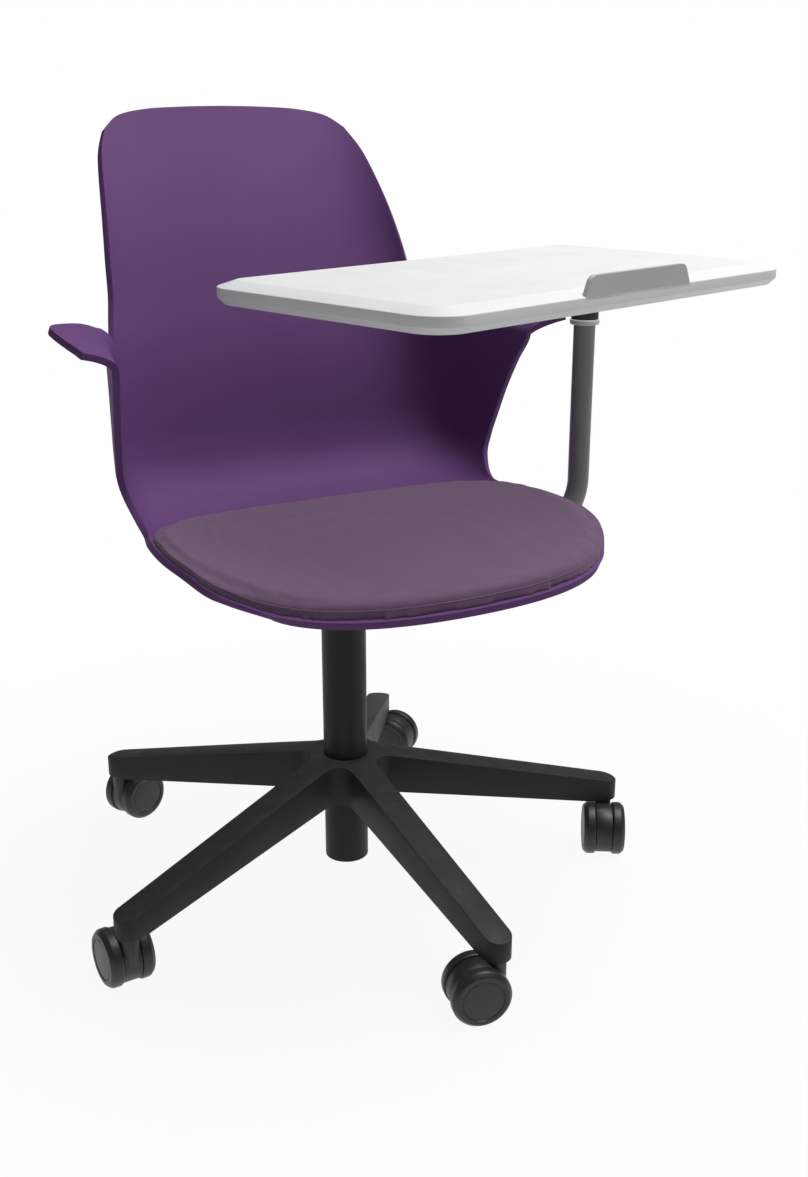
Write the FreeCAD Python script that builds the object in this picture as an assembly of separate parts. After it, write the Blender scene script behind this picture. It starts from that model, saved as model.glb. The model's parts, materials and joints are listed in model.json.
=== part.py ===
"""Swivel chair with a writing tablet, on a five-arm base with twin-wheel casters.

Millimetres, +Z up, +X to the sitter's left, -Y to the front.
The origin is on the floor, under the axis of the column.
Places are often given as (x, front, z), where front is -Y.
"""
import FreeCAD, Part
import math
import os

# Base
wheel_radius = 31.2
arm_count = 5
arm_reach = 318.0
arm_tip_radius = 14.5
arm_root_half_width = 16.5
arm_root_reach = 60.0
arm_valley_radius = 20.0
arm_tip_depth = 26.0
arm_root_depth = 47.0
first_arm_angle = 55.7
arm_end_round_share = 0.98
socket_roof_wall = 4.0
hub_rise = 65.6
hub_radius = 40.0
hub_skirt_radius = 37.0
hub_skirt_drop = 4.0

# Column and gas spring
column_radius = 25.0
column_wall = 2.2
column_foot = 25.0
column_mouth_gap = 4.0
column_floor_gap = 7.0
column_floor_thickness = 6.0
spring_radius = 14.0
spring_wall = 1.9
spring_foot = 130.0
spring_foot_plug = 12.0
spring_head_plug = 12.0
guide_length = 80.0
guide_flange = 3.0
rod_radius = 5.0
rod_top_drop = 30.0
rod_shoulder_radius = 7.5
rod_shoulder_height = 4.0
rod_groove_depth = 1.2
piston_height = 10.0
bearing_radius = 12.0
bearing_height = 8.0
clip_radius = 8.5
clip_thickness = 1.2
valve_radius = 4.0
valve_stand = 6.0
valve_buried = 9.0

# Fits
running_gap = 0.05
cushion_bedding = 1.5
plate_gap = 0.3
overrun = 5.0

# Mechanism under the seat
socket_depth = 60.0
spring_top_drop = 19.0
socket_radius = 30.0
socket_foot_radius = 23.0
socket_cavity_radius = 19.0
plate_drop = 31.0
plate_thickness = 5.0
plate_half_width = 98.0
plate_front = 119.0
plate_rear = 70.0
plate_corner_radius = 18.0
plate_rim_depth = 9.0
plate_rim_width = 4.0
bolt_radius = 3.0
bolt_head_radius = 5.5
bolt_head_height = 4.0
bolt_washer_height = 1.5
bolt_washer_radius = 8.0
boss_radius = 12.0
boss_half_spacing = 76.0
boss_front = 102.0
boss_rear = 48.0
boss_bolt_depth = 13.0

# Height lever
lever_pivot_reach = 38.0
lever_width = 14.0
lever_thickness = 5.0
lever_inner_end = 4.0
lever_length_out = 112.0
lever_pin_radius = 2.5
lever_ear_thickness = 4.0
lever_ear_gap = 0.6
lever_ear_half_length = 7.0
lever_ear_drop = 15.0
lever_pin_head = 1.5
lever_slot_gap = 2.5
grip_reach = 172.0
grip_length = 66.0
grip_width = 30.0
grip_height = 11.0
grip_corner = 4.0
grip_neck_share = 0.7

# Shell
seat_half_width = 231.0
seat_reach = 289.0
shell_datum = 428.0
shell_rise = 434.0
shell_wall = 7.0

# Winglets
wing_reach = 65.0
wing_rise = 43.0
wing_length = 153.0
wing_tongue = 9.0
wing_tongue_wall = 3.6
wing_wall = 6.4

# Cushion
cushion_thickness = 14.0
cushion_crown = 3.5
cushion_edge_height = 8.5

# Tablet arm
post_radius = 11.8
post_wall = 2.0
post_seat_gap = 20.3
post_front = 69.0
post_bend_rise = 37.0
post_bend_radius = 60.0
post_bend_angle = 75.0
post_end_x = 52.0
bracket_width = 38.0
bracket_inner_x = 44.0
bracket_outer_x = 92.0
bracket_cover = 7.0
bracket_bolt_depth = 9.0
collar_radius = 16.0
collar_drop = 18.5
collar_height = 5.5
bush_length = 30.0
spindle_radius = 6.5
spindle_length = 34.0
neck_radius = 14.8
neck_room_drop = 13.0
neck_flange_radius = 26.0
neck_flange_height = 3.0

# Tablet
tablet_length = 573.0
tablet_width = 333.0
tablet_corner_radius = 40.0
tablet_turn = 16.7
tablet_underside = 673.0
tablet_lower_bevel = 7.0
tablet_lower_inset = 7.0
tablet_band = 10.0
tablet_upper_bevel = 6.5
tablet_upper_inset = 20.0
tablet_post_along = 66.8
tablet_post_across = 49.3
mount_plate_length = 130.0
mount_plate_width = 84.0
mount_plate_thickness = 4.0
mount_plate_corner = 10.0
screw_radius = 2.0
screw_head_radius = 4.2
screw_head_height = 2.2
screw_depth = 11.0
screw_inset = 10.0

# Tablet lip
lip_base_length = 177.0
lip_top_length = 156.0
lip_height = 23.0
lip_thickness = 5.5
lip_offset = 1.5
lip_corner_radius = 10.0
lip_seat_depth = 3.0

# Casters
caster_trail = 20.5
caster_trail_turn = -105.3
wheel_width = 14.2
wheel_side_gap = 0.8
wheel_edge_radius = 5.5
wheel_bore_radius = 4.05
wheel_dish_radius = 21.0
wheel_dish_depth = 1.2
wheel_cap_radius = 17.5
wheel_cap_height = 0.7
caster_core_width = 18.8
caster_core_radius = 29.4
caster_floor_gap = 9.0
caster_axle_radius = 4.0
caster_axle_buried = 8.6
caster_bore_depth = 10.0
stem_radius = 5.5
stem_buried = 16.0
caster_neck_radius = 10.0
caster_neck_gap = 0.5
caster_shoulder_rise = 1.5

# Heights that follow from the sizes above
caster_shoulder = 2 * wheel_radius + caster_shoulder_rise
arm_tip_foot = caster_shoulder + caster_neck_gap
arm_tip_top = arm_tip_foot + arm_tip_depth
socket_roof = arm_tip_top - socket_roof_wall
hub_top = arm_tip_top + hub_rise
plate_z = shell_datum - plate_drop
plate_top = plate_z + plate_thickness
spring_top = plate_z - spring_top_drop
socket_foot = plate_z - socket_depth
column_top = socket_foot - guide_flange - column_mouth_gap
rod_top = column_top - rod_top_drop
post_bend_z = shell_datum + post_bend_rise
plate_underside = tablet_underside - mount_plate_thickness
post_top = plate_underside - neck_room_drop
collar_z = post_top - collar_drop

os.makedirs("parts", exist_ok=True)


def at(x, front, z):
    """A place from its sideways, forward and upward distances."""
    return FreeCAD.Vector(x, -front, z)


def save(name, shape):
    """Write one named piece, and print how many solids it has."""
    shape.exportStep("parts/" + name + ".step")
    box = shape.BoundBox
    print(name, len(shape.Solids), shape.isValid(), round(box.ZMin, 1), round(box.ZMax, 1))


def rod(radius, low, high, x=0.0, front=0.0):
    """An upright round bar between two heights."""
    return Part.makeCylinder(radius, high - low, at(x, front, low))


def ring(outer, inner, low, high, x=0.0, front=0.0):
    """An upright tube between two heights."""
    hole = rod(inner, low - overrun, high + overrun, x, front)
    return rod(outer, low, high, x, front).cut(hole)


def bar_x(radius, start, end, front, z):
    """A round bar along X."""
    return Part.makeCylinder(radius, end - start, at(start, front, z), FreeCAD.Vector(1, 0, 0))


def bar_y(radius, y_low, y_high, x, z):
    """A round bar along Y."""
    start = FreeCAD.Vector(x, y_low, z)
    return Part.makeCylinder(radius, y_high - y_low, start, FreeCAD.Vector(0, 1, 0))


def block(x_low, x_high, front_low, front_high, z_low, z_high):
    """A plain block between two corners."""
    corner = at(x_low, front_high, z_low)
    return Part.makeBox(x_high - x_low, front_high - front_low, z_high - z_low, corner)


def rounded_wire(points, radii):
    """A closed outline whose corners are arcs of the given radii."""
    count = len(points)
    edges = []
    starts = []
    ends = []
    mids = []
    for index, corner in enumerate(points):
        before = (points[index - 1] - corner).normalize()
        after = (points[(index + 1) % count] - corner).normalize()
        half = before.getAngle(after) / 2.0
        run = radii[index] / math.tan(half)
        bisector = (before + after).normalize()
        starts.append(corner + before * run)
        ends.append(corner + after * run)
        mids.append(corner + bisector * (radii[index] / math.sin(half) - radii[index]))
    for index in range(count):
        edges.append(Part.Arc(starts[index], mids[index], ends[index]).toShape())
        edges.append(Part.LineSegment(ends[index], starts[(index + 1) % count]).toShape())
    return Part.Wire(edges)


def rounded_rectangle(half_length, half_width, radius, z):
    """A rectangle with round corners about the origin, at a height."""
    corners = [(-1, -1), (1, -1), (1, 1), (-1, 1)]
    points = [FreeCAD.Vector(a * half_length, b * half_width, z) for a, b in corners]
    return rounded_wire(points, [radius] * len(points))


def revolved(points):
    """A solid turned about the Z axis from (radius, height) points."""
    profile = [FreeCAD.Vector(radius, 0, z) for radius, z in points]
    face = Part.Face(Part.makePolygon(profile + profile[:1]))
    return face.revolve(FreeCAD.Vector(0, 0, 0), FreeCAD.Vector(0, 0, 1), 360)


# Free-form surfaces are B-splines whose control points are a net of places.
# Two faces that share a row of control points meet exactly along it.
def knots(count, degree):
    """Clamped, evenly spaced knots and their multiplicities."""
    spans = count - degree
    values = [step / spans for step in range(spans + 1)]
    repeats = [degree + 1] + [1] * (spans - 1) + [degree + 1]
    return values, repeats


def net_face(net, first_degree=3, second_degree=3):
    """A face over a net of control points."""
    surface = Part.BSplineSurface()
    first_knots, first_repeats = knots(len(net), first_degree)
    second_knots, second_repeats = knots(len(net[0]), second_degree)
    surface.buildFromPolesMultsKnots(net, first_repeats, second_repeats, first_knots,
                                     second_knots, False, False, first_degree, second_degree)
    return surface.toShape()


def net_solid(inner, outer):
    """The closed solid between two nets of the same size, with ruled sides."""
    faces = [net_face(inner), net_face(outer)]
    borders = [
        (inner[0], outer[0]),
        (inner[-1], outer[-1]),
        ([row[0] for row in inner], [row[0] for row in outer]),
        ([row[-1] for row in inner], [row[-1] for row in outer]),
    ]
    for first, second in borders:
        faces.append(net_face([first, second], 1, 3))
    shell = Part.makeShell(faces)
    shell.sewShape()
    solid = Part.makeSolid(Part.Shell(shell.Faces))
    if solid.Volume < 0:
        solid.reverse()
    return solid


def smooth_value(values, place):
    """A smooth curve through evenly spaced values, at a place from 0 to 1."""
    last = len(values) - 1
    index = min(int(place * last), last - 1)
    t = place * last - index
    before = values[max(index - 1, 0)]
    first = values[index]
    second = values[index + 1]
    after = values[min(index + 2, last)]
    slope_first = (second - before) / 2.0
    slope_second = (after - first) / 2.0
    square = t * t
    cube = square * t
    return (first * (2 * cube - 3 * square + 1) + slope_first * (cube - 2 * square + t)
            + second * (3 * square - 2 * cube) + slope_second * (cube - square))


# Shell, from front edge to the top of the back.
# Each row holds shares: spine front and height, edge half-width, front and height,
# then how far across the section stays flat, where its corner is, and how it dips.
# Widths and fronts follow the seat's, and heights follow the shell's rise.
shell_shares = [
    (0.980, -0.016, 0.823, 0.765, 0.004, 0.50, 0.82, 0.30),
    (0.838, -0.007, 0.948, 0.610, 0.030, 0.55, 0.84, 0.22),
    (0.638, -0.002, 0.985, 0.440, 0.046, 0.58, 0.85, 0.14),
    (0.400, 0.000, 0.990, 0.260, 0.046, 0.60, 0.86, 0.08),
    (0.160, 0.000, 0.968, 0.075, 0.045, 0.62, 0.88, 0.05),
    (-0.090, 0.002, 0.925, -0.065, 0.044, 0.66, 0.90, 0.02),
    (-0.290, 0.014, 0.918, -0.150, 0.060, 0.70, 0.91, 0.00),
    (-0.425, 0.044, 0.940, -0.208, 0.106, 0.74, 0.91, -0.02),
    (-0.510, 0.097, 0.962, -0.210, 0.152, 0.77, 0.90, -0.04),
    (-0.554, 0.166, 0.974, -0.182, 0.205, 0.79, 0.89, -0.06),
    (-0.586, 0.258, 0.989, -0.134, 0.286, 0.79, 0.87, -0.07),
    (-0.620, 0.350, 1.006, -0.076, 0.364, 0.78, 0.85, -0.07),
    (-0.660, 0.438, 1.026, -0.017, 0.439, 0.77, 0.83, -0.07),
    (-0.709, 0.520, 1.040, -0.073, 0.515, 0.76, 0.82, -0.06),
    (-0.773, 0.620, 1.015, -0.208, 0.615, 0.74, 0.81, -0.05),
    (-0.846, 0.725, 0.955, -0.427, 0.720, 0.72, 0.81, -0.02),
    (-0.926, 0.825, 0.885, -0.657, 0.820, 0.70, 0.81, 0.00),
    (-1.006, 0.915, 0.825, -0.847, 0.912, 0.68, 0.81, 0.02),
    (-1.081, 1.000, 0.785, -0.987, 1.000, 0.66, 0.81, 0.04),
]
shell_rows = 37
shell_columns = 25
slope_step_share = 0.01
seat_part_share = 0.4


def shell_point(across, along):
    """A place on the face that the sitter meets; across runs from -1 to 1."""
    share = [smooth_value(column, along) for column in zip(*shell_shares)]
    spine_front, spine_z, edge_x, edge_front, edge_z, flat, corner, dip = share
    u = abs(across)
    v = 1.0 - u
    weights = (v ** 3, 3 * v * v * u, 3 * v * u * u, u ** 3)
    x = edge_x * (weights[1] * flat + weights[2] * corner + weights[3])
    mix = weights[2] * dip + weights[3]
    front = spine_front + (edge_front - spine_front) * mix
    z = spine_z + (edge_z - spine_z) * mix
    side = math.copysign(1.0, across)
    return at(side * x * seat_half_width, front * seat_reach, shell_datum + z * shell_rise)


def shell_normal(across, along):
    """The direction towards the sitter, square to the shell."""
    step = slope_step_share
    u = max(-1 + 3 * step, min(1 - 3 * step, across))
    s = max(3 * step, min(1 - 3 * step, along))
    du = shell_point(u + step, s) - shell_point(u - step, s)
    ds = shell_point(u, s + step) - shell_point(u, s - step)
    return du.cross(ds).normalize()


def shell_net(offset):
    """Control points at a distance from the sitter's face."""
    net = []
    for row in range(shell_rows):
        along = row / (shell_rows - 1)
        line = []
        for column in range(shell_columns):
            across = 2.0 * column / (shell_columns - 1) - 1.0
            line.append(shell_point(across, along) + shell_normal(across, along) * offset)
        net.append(line)
    return net


# Outline of the shell seen from the front: shares of the seat's half-width and of the rise.
# It runs from the winglet's front root to the notch behind it, and up to the top centre.
back_outline_shares = [
    (1.034, 0.439), (0.844, 0.470), (0.799, 0.545), (0.779, 0.635), (0.752, 0.737),
    (0.721, 0.834), (0.692, 0.894), (0.645, 0.944), (0.560, 0.976), (0.410, 0.992),
    (0.210, 0.998), (0.000, 1.000),
]
shell_side_share = 1.20

# Winglet: root and tip shares from its front edge to its rear edge.
# Roots are sideways and forward shares of the seat's, and heights follow the rise.
wing_root_shares = [
    (1.028, -0.025, 0.438), (1.001, -0.100, 0.444), (0.967, -0.195, 0.451),
    (0.932, -0.300, 0.457), (0.894, -0.406, 0.463), (0.859, -0.512, 0.468),
]
# Tips are shares of the wing's reach, length and rise, measured from the same root.
wing_tip_shares = [
    (0.60, 0.120, 0.51), (0.85, 0.130, 0.66), (1.03, 0.140, 0.78),
    (0.89, 0.150, 0.69), (0.55, 0.130, 0.51), (0.26, 0.060, 0.20),
]
wing_rows = 11
wing_columns = 13
wing_root_rise_share = 0.22
wing_mid_reach_share = 0.40
wing_mid_forward_share = 0.50
wing_mid_rise_share = 0.52
wing_tongue_end_share = 0.083
wing_swell_share = 0.125


def shell_front_outline(y_low, y_high):
    """A prism whose outline is the shell's, seen from the front."""
    side = shell_side_share * seat_half_width
    low = shell_datum - shell_rise
    right = [(a * seat_half_width, shell_datum + b * shell_rise) for a, b in back_outline_shares]
    curve_places = [FreeCAD.Vector(x, y_low, z) for x, z in right[1:]]
    mirrored = [FreeCAD.Vector(-place.x, y_low, place.z) for place in reversed(curve_places[:-1])]
    curve = Part.BSplineCurve()
    curve.interpolate(curve_places + mirrored)
    root_z = right[0][1]
    root = [(right[0][0], root_z), (side, root_z - (side - right[0][0])), (side, low)]
    corners = [FreeCAD.Vector(x, y_low, z) for x, z in root]
    opposite = [FreeCAD.Vector(-place.x, y_low, place.z) for place in corners]
    path = [curve_places[0]] + corners + opposite[::-1] + [mirrored[-1]]
    edges = [Part.LineSegment(a, b).toShape() for a, b in zip(path, path[1:])]
    edges.append(curve.toShape())
    face = Part.Face(Part.Wire(Part.sortEdges(edges)[0]))
    return face.extrude(FreeCAD.Vector(0, y_high - y_low, 0))


def wing_point(out, back, side):
    """A place on the middle of a winglet: out from root to tip, back from front to rear."""
    root = [smooth_value(column, back) for column in zip(*wing_root_shares)]
    tip = [smooth_value(column, back) for column in zip(*wing_tip_shares)]
    x = root[0] * seat_half_width + shell_wall / 2.0
    front = root[1] * seat_reach
    z = shell_datum + root[2] * shell_rise
    reach = tip[0] * wing_reach
    forward = tip[1] * wing_length
    rise = tip[2] * wing_rise
    places = [
        (x, front, z - wing_tongue),
        (x, front, z + rise * wing_root_rise_share),
        (x + reach * wing_mid_reach_share, front + forward * wing_mid_forward_share,
         z + rise * wing_mid_rise_share),
        (x + reach, front + forward, z + rise),
    ]
    v = 1.0 - out
    weights = (v ** 3, 3 * v * v * out, 3 * v * out * out, out ** 3)
    total = [sum(w * place[axis] for w, place in zip(weights, places)) for axis in range(3)]
    return at(side * total[0], total[1], total[2])


def wing_solid(side):
    """One winglet, whose thinner root is buried in the side wall."""
    step = slope_step_share
    upper = []
    lower = []
    for row in range(wing_rows):
        back = row / (wing_rows - 1)
        upper_row = []
        lower_row = []
        for column in range(wing_columns):
            out = column / (wing_columns - 1)
            u = max(step, min(1 - step, out))
            v = max(step, min(1 - step, back))
            along_out = wing_point(u + step, v, side) - wing_point(u - step, v, side)
            along_back = wing_point(u, v + step, side) - wing_point(u, v - step, side)
            normal = along_back.cross(along_out).normalize() * side
            grown = min(1.0, max(0.0, (out - wing_tongue_end_share) / wing_swell_share))
            wall = wing_tongue_wall + (wing_wall - wing_tongue_wall) * grown
            place = wing_point(out, back, side)
            upper_row.append(place + normal * (wall / 2.0))
            lower_row.append(place - normal * (wall / 2.0))
        upper.append(upper_row)
        lower.append(lower_row)
    return net_solid(upper, lower)


def boss_places():
    """The four places where the shell is bolted to the mechanism."""
    fronts = (boss_front, -boss_rear)
    return [(side * boss_half_spacing, front) for side in (-1, 1) for front in fronts]


def shell_below(x, front):
    """Height of the shell's sitter face under a place on the seat."""
    best = None
    for row in range(shell_rows):
        for column in range(shell_columns):
            across = 2.0 * column / (shell_columns - 1) - 1.0
            place = shell_point(across, seat_part_share * row / (shell_rows - 1))
            miss = math.hypot(place.x - x, -place.y - front)
            if best is None or miss < best[0]:
                best = (miss, place.z)
    return best[1]




def seat_shell():
    """One moulded shell with two winglets and four bosses under the seat."""
    body = net_solid(shell_net(0.0), shell_net(-shell_wall))
    prism = shell_front_outline(-2 * seat_reach, 2 * seat_reach)
    body = body.common(prism)
    wings = [wing_solid(-1), wing_solid(1)]
    body = body.fuse(wings)
    bosses = []
    holes = []
    for x, front in boss_places():
        top = shell_below(x, front) - shell_wall / 2.0
        bosses.append(rod(boss_radius, plate_top, top, x, front))
        holes.append(rod(bolt_radius, plate_top - overrun, plate_top + boss_bolt_depth, x, front))
    body = body.fuse(bosses).cut(Part.makeCompound(holes))
    return body.Solids[0] if len(body.Solids) == 1 else body


shell_body = seat_shell()
save("seat_shell", shell_body)


# Cushion: a pad that follows the shell, with a crown and drawn-in sides
cushion_rows = 23
cushion_columns = 23
cushion_side_share = 0.998
cushion_front_share = 0.004
cushion_rear_share = 0.315
cushion_corner_share = 0.055
cushion_edge_band_share = 0.10
cushion_corner_start_share = 0.5
cushion_corner_narrowing_share = 1.4


def cushion_place(across, along):
    """Where a share of the cushion's width and depth lies on the shell's own grid."""
    rear_pull = max(0.0, along - cushion_corner_start_share) / (1.0 - cushion_corner_start_share)
    corner = cushion_corner_share * abs(across) ** 4 * rear_pull ** 2
    s = cushion_front_share + (cushion_rear_share - corner - cushion_front_share) * along
    u = across * cushion_side_share * (1.0 - cushion_corner_narrowing_share * corner)
    return u, s


def cushion_height(across, along):
    """Thickness of the pad: full inside, and falling in a round edge to its seam."""
    side = 1.0 - abs(across)
    end = min(along, 1.0 - along) * 2.0
    near = min(1.0, min(side, end) / cushion_edge_band_share)
    edge_round = math.sqrt(max(0.0, 1.0 - (1.0 - near) ** 2))
    crown = cushion_crown * (1.0 - across ** 2) * 4.0 * along * (1.0 - along)
    full = cushion_thickness + crown
    return cushion_edge_height + (full - cushion_edge_height) * edge_round


def cushion_nets():
    """Control points of the pad's top and bottom, which share their seam."""
    top = []
    bottom = []
    for row in range(cushion_rows):
        along = 0.5 - 0.5 * math.cos(math.pi * row / (cushion_rows - 1))
        top_row = []
        bottom_row = []
        for column in range(cushion_columns):
            across = -math.cos(math.pi * column / (cushion_columns - 1))
            u, s = cushion_place(across, along)
            base = shell_point(u, s)
            normal = shell_normal(u, s)
            top_row.append(base + normal * cushion_height(across, along))
            on_seam = row in (0, cushion_rows - 1) or column in (0, cushion_columns - 1)
            bottom_row.append(top_row[-1] if on_seam else base - normal * cushion_bedding)
        top.append(top_row)
        bottom.append(bottom_row)
    return top, bottom


def seat_cushion(seat):
    """The upholstered pad as one closed solid, bedded on the shell."""
    top, bottom = cushion_nets()
    skin = Part.makeShell([net_face(top), net_face(bottom)])
    skin.sewShape()
    solid = Part.makeSolid(Part.Shell(skin.Faces))
    if solid.Volume < 0:
        solid.reverse()
    pieces = solid.cut(seat).Solids
    return max(pieces, key=lambda piece: piece.Volume)


save("seat_cushion", seat_cushion(shell_body))


# Base: five tapering arms with flat tops that rise to the hub
arm_angles = [first_arm_angle + 360.0 / arm_count * index for index in range(arm_count)]


def base_spider():
    """One casting: the star outline, cut to its side profile, with its sockets bored."""
    taper = (arm_root_half_width - arm_tip_radius) / (arm_reach - arm_root_reach)
    half_gap = math.pi / arm_count
    valley_x = (arm_root_half_width + arm_root_reach * taper) / (math.tan(half_gap) + taper)
    valley = valley_x / math.cos(half_gap)
    points = []
    radii = []
    for degrees in arm_angles:
        angle = math.radians(degrees)
        direction = FreeCAD.Vector(math.cos(angle), math.sin(angle), 0)
        across = FreeCAD.Vector(-direction.y, direction.x, 0)
        end = direction * (arm_reach + arm_tip_radius)
        points += [end - across * arm_tip_radius, end + across * arm_tip_radius]
        radii += [arm_tip_radius * arm_end_round_share] * 2
        mid = angle + half_gap
        points.append(FreeCAD.Vector(math.cos(mid), math.sin(mid), 0) * valley)
        radii.append(arm_valley_radius)
    star = Part.Face(rounded_wire(points, radii)).extrude(FreeCAD.Vector(0, 0, 2 * hub_top))
    outer = arm_reach + 2 * arm_tip_radius
    slope = (hub_top - arm_tip_top) / (arm_reach - hub_radius)
    profile = revolved([
        (column_radius, hub_top - arm_root_depth - hub_skirt_drop),
        (hub_skirt_radius, hub_top - arm_root_depth - hub_skirt_drop),
        (hub_skirt_radius, hub_top - arm_root_depth),
        (arm_reach - arm_tip_radius, arm_tip_foot),
        (outer, arm_tip_foot),
        (outer, arm_tip_top - (outer - arm_reach) * slope),
        (hub_radius, hub_top),
        (column_radius, hub_top),
    ])
    body = star.common(profile)
    sockets = []
    socket_bore = stem_radius + running_gap
    for degrees in arm_angles:
        x, y = polar(arm_reach, degrees)
        sockets.append(rod(socket_bore, arm_tip_foot - overrun, socket_roof, x, -y))
    return body.cut(Part.makeCompound(sockets))


def polar(reach, degrees):
    """X and Y of a place at a reach and an angle from the column."""
    return reach * math.cos(math.radians(degrees)), reach * math.sin(math.radians(degrees))


save("base_spider", base_spider())


# Column and gas spring
column_floor = column_foot + column_floor_gap
bearing_foot = column_floor + column_floor_thickness
shoulder_foot = bearing_foot + bearing_height + running_gap
column_bore = column_radius - column_wall
spring_bore = spring_radius - spring_wall


def column_tube():
    """Outer tube, pressed into the hub, with the floor that the gas spring stands on."""
    wall = ring(column_radius, column_bore, column_foot, column_top)
    floor = ring(column_bore + column_wall / 2, rod_radius + running_gap, column_floor, bearing_foot)
    return wall.fuse(floor).removeSplitter()


def guide_bush():
    """Plastic guide at the column's mouth."""
    sleeve = ring(column_bore, spring_radius + running_gap, column_top - guide_length, column_top)
    flange = ring(column_radius, spring_radius + running_gap, column_top, column_top + guide_flange)
    return sleeve.fuse(flange).removeSplitter()


def piston_rod():
    """Rod that turns on the bearing, with a shoulder above it and a groove for its clip."""
    groove_top = column_floor - plate_gap
    groove_foot = groove_top - clip_thickness
    body = rod(rod_radius, groove_foot - clip_thickness, rod_top)
    body = body.cut(ring(rod_radius + overrun, rod_radius - rod_groove_depth, groove_foot, groove_top))
    return body.fuse(rod(rod_shoulder_radius, shoulder_foot, shoulder_foot + rod_shoulder_height))


def gas_piston():
    """Piston on the rod, inside the pressure tube."""
    return ring(spring_bore - running_gap, rod_radius, rod_top - piston_height, rod_top)


def retaining_clip():
    """Split washer in the rod's groove, under the column's floor."""
    groove_top = column_floor - plate_gap
    body = ring(clip_radius, rod_radius - rod_groove_depth, groove_top - clip_thickness, groove_top)
    slot = block(0, clip_radius + overrun, -rod_radius / 2, rod_radius / 2, column_foot, column_floor)
    return body.cut(slot)


def pressure_tube():
    """Sealed tube that rises with the seat, bored for the rod below and the valve pin above."""
    body = rod(spring_radius, spring_foot, spring_top)
    body = body.cut(rod(spring_bore, spring_foot + spring_foot_plug, spring_top - spring_head_plug))
    rod_bore = rod_radius + running_gap
    valve_bore = valve_radius + running_gap
    body = body.cut(rod(rod_bore, spring_foot - overrun, spring_foot + spring_foot_plug))
    return body.cut(rod(valve_bore, spring_top - spring_head_plug, spring_top + overrun))


save("column_tube", column_tube())
save("guide_bush", guide_bush())
bearing_bore = rod_radius + running_gap
bearing_top = bearing_foot + bearing_height
save("thrust_bearing", ring(bearing_radius, bearing_bore, bearing_foot, bearing_top))
save("piston_rod", piston_rod())
save("gas_piston", gas_piston())
save("retaining_clip", retaining_clip())
save("pressure_tube", pressure_tube())
save("release_pin", rod(valve_radius, spring_top - valve_buried, spring_top + valve_stand))


# Mechanism: a ribbed plate on a tapered socket, with the lever's ears
lever_foot = spring_top + valve_stand + plate_gap
lever_head = lever_foot + lever_thickness
lever_pin_z = (lever_foot + lever_head) / 2.0


def mechanism_housing():
    """The casting between the gas spring and the shell."""
    corners = [(-plate_half_width, -plate_front), (plate_half_width, -plate_front),
               (plate_half_width, plate_rear), (-plate_half_width, plate_rear)]
    points = [FreeCAD.Vector(x, y, plate_z) for x, y in corners]
    width = plate_rim_width
    inset = [FreeCAD.Vector(x - math.copysign(width, x), y - math.copysign(width, y), plate_z)
             for x, y in corners]
    down = FreeCAD.Vector(0, 0, -plate_rim_depth)
    outline = Part.Face(rounded_wire(points, [plate_corner_radius] * 4))
    inner = Part.Face(rounded_wire(inset, [plate_corner_radius - width] * 4))
    plate = outline.extrude(FreeCAD.Vector(0, 0, plate_thickness))
    rim = outline.extrude(down).cut(inner.extrude(down))
    socket = revolved([(0, socket_foot), (socket_foot_radius, socket_foot),
                       (socket_radius, plate_z), (0, plate_z)])
    ear_half = lever_width / 2 + lever_ear_gap
    ears = []
    ear_inner = lever_ear_half_length - lever_pivot_reach
    ear_outer = -lever_ear_half_length - lever_pivot_reach
    for low in (-ear_half - lever_ear_thickness, ear_half):
        high = low + lever_ear_thickness
        ears.append(block(ear_outer, ear_inner, low, high, plate_z - lever_ear_drop, plate_z))
    body = plate.fuse([rim, socket] + ears).removeSplitter()
    slot_foot = lever_foot - lever_slot_gap
    slot = block(-plate_half_width - overrun, 0, -ear_half, ear_half, slot_foot, plate_z)
    pin_reach = ear_half + 2 * lever_ear_thickness
    cuts = [
        rod(spring_radius, socket_foot - overrun, spring_top),
        rod(socket_cavity_radius, spring_top, plate_z),
        slot,
        bar_y(lever_pin_radius, -pin_reach, pin_reach, -lever_pivot_reach, lever_pin_z),
    ]
    for x, front in boss_places() + bracket_bolt_places():
        cuts.append(rod(bolt_radius, plate_z - overrun, plate_top + overrun, x, front))
    return body.cut(Part.makeCompound(cuts))


def headed_bolt(x, front, head_top, tip):
    """A bolt whose head and washer lie under a plate and whose shank points up."""
    head_foot = head_top - bolt_washer_height - bolt_head_height
    head = rod(bolt_head_radius, head_foot, head_top - bolt_washer_height, x, front)
    drive = rod(bolt_head_radius / 2, head_foot - overrun, head_foot + bolt_head_height / 2, x, front)
    washer = rod(bolt_washer_radius, head_top - bolt_washer_height, head_top, x, front)
    shank = rod(bolt_radius, head_top, tip, x, front)
    return head.cut(drive).fuse([washer, shank])


def bracket_bolt_places():
    """The two bolts that hold the arm bracket up against the plate."""
    x = bracket_outer_x - bolt_washer_radius - bracket_cover / 4
    step = bracket_width / 2 - bolt_radius - bracket_cover / 4
    inner = x - 2 * bolt_washer_radius
    return [(inner, post_front + step), (inner, post_front - step)]


def shell_bolts():
    """Four bolts up through the plate into the shell's bosses."""
    tip = plate_top + boss_bolt_depth
    return Part.makeCompound([headed_bolt(x, front, plate_z, tip) for x, front in boss_places()])


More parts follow.
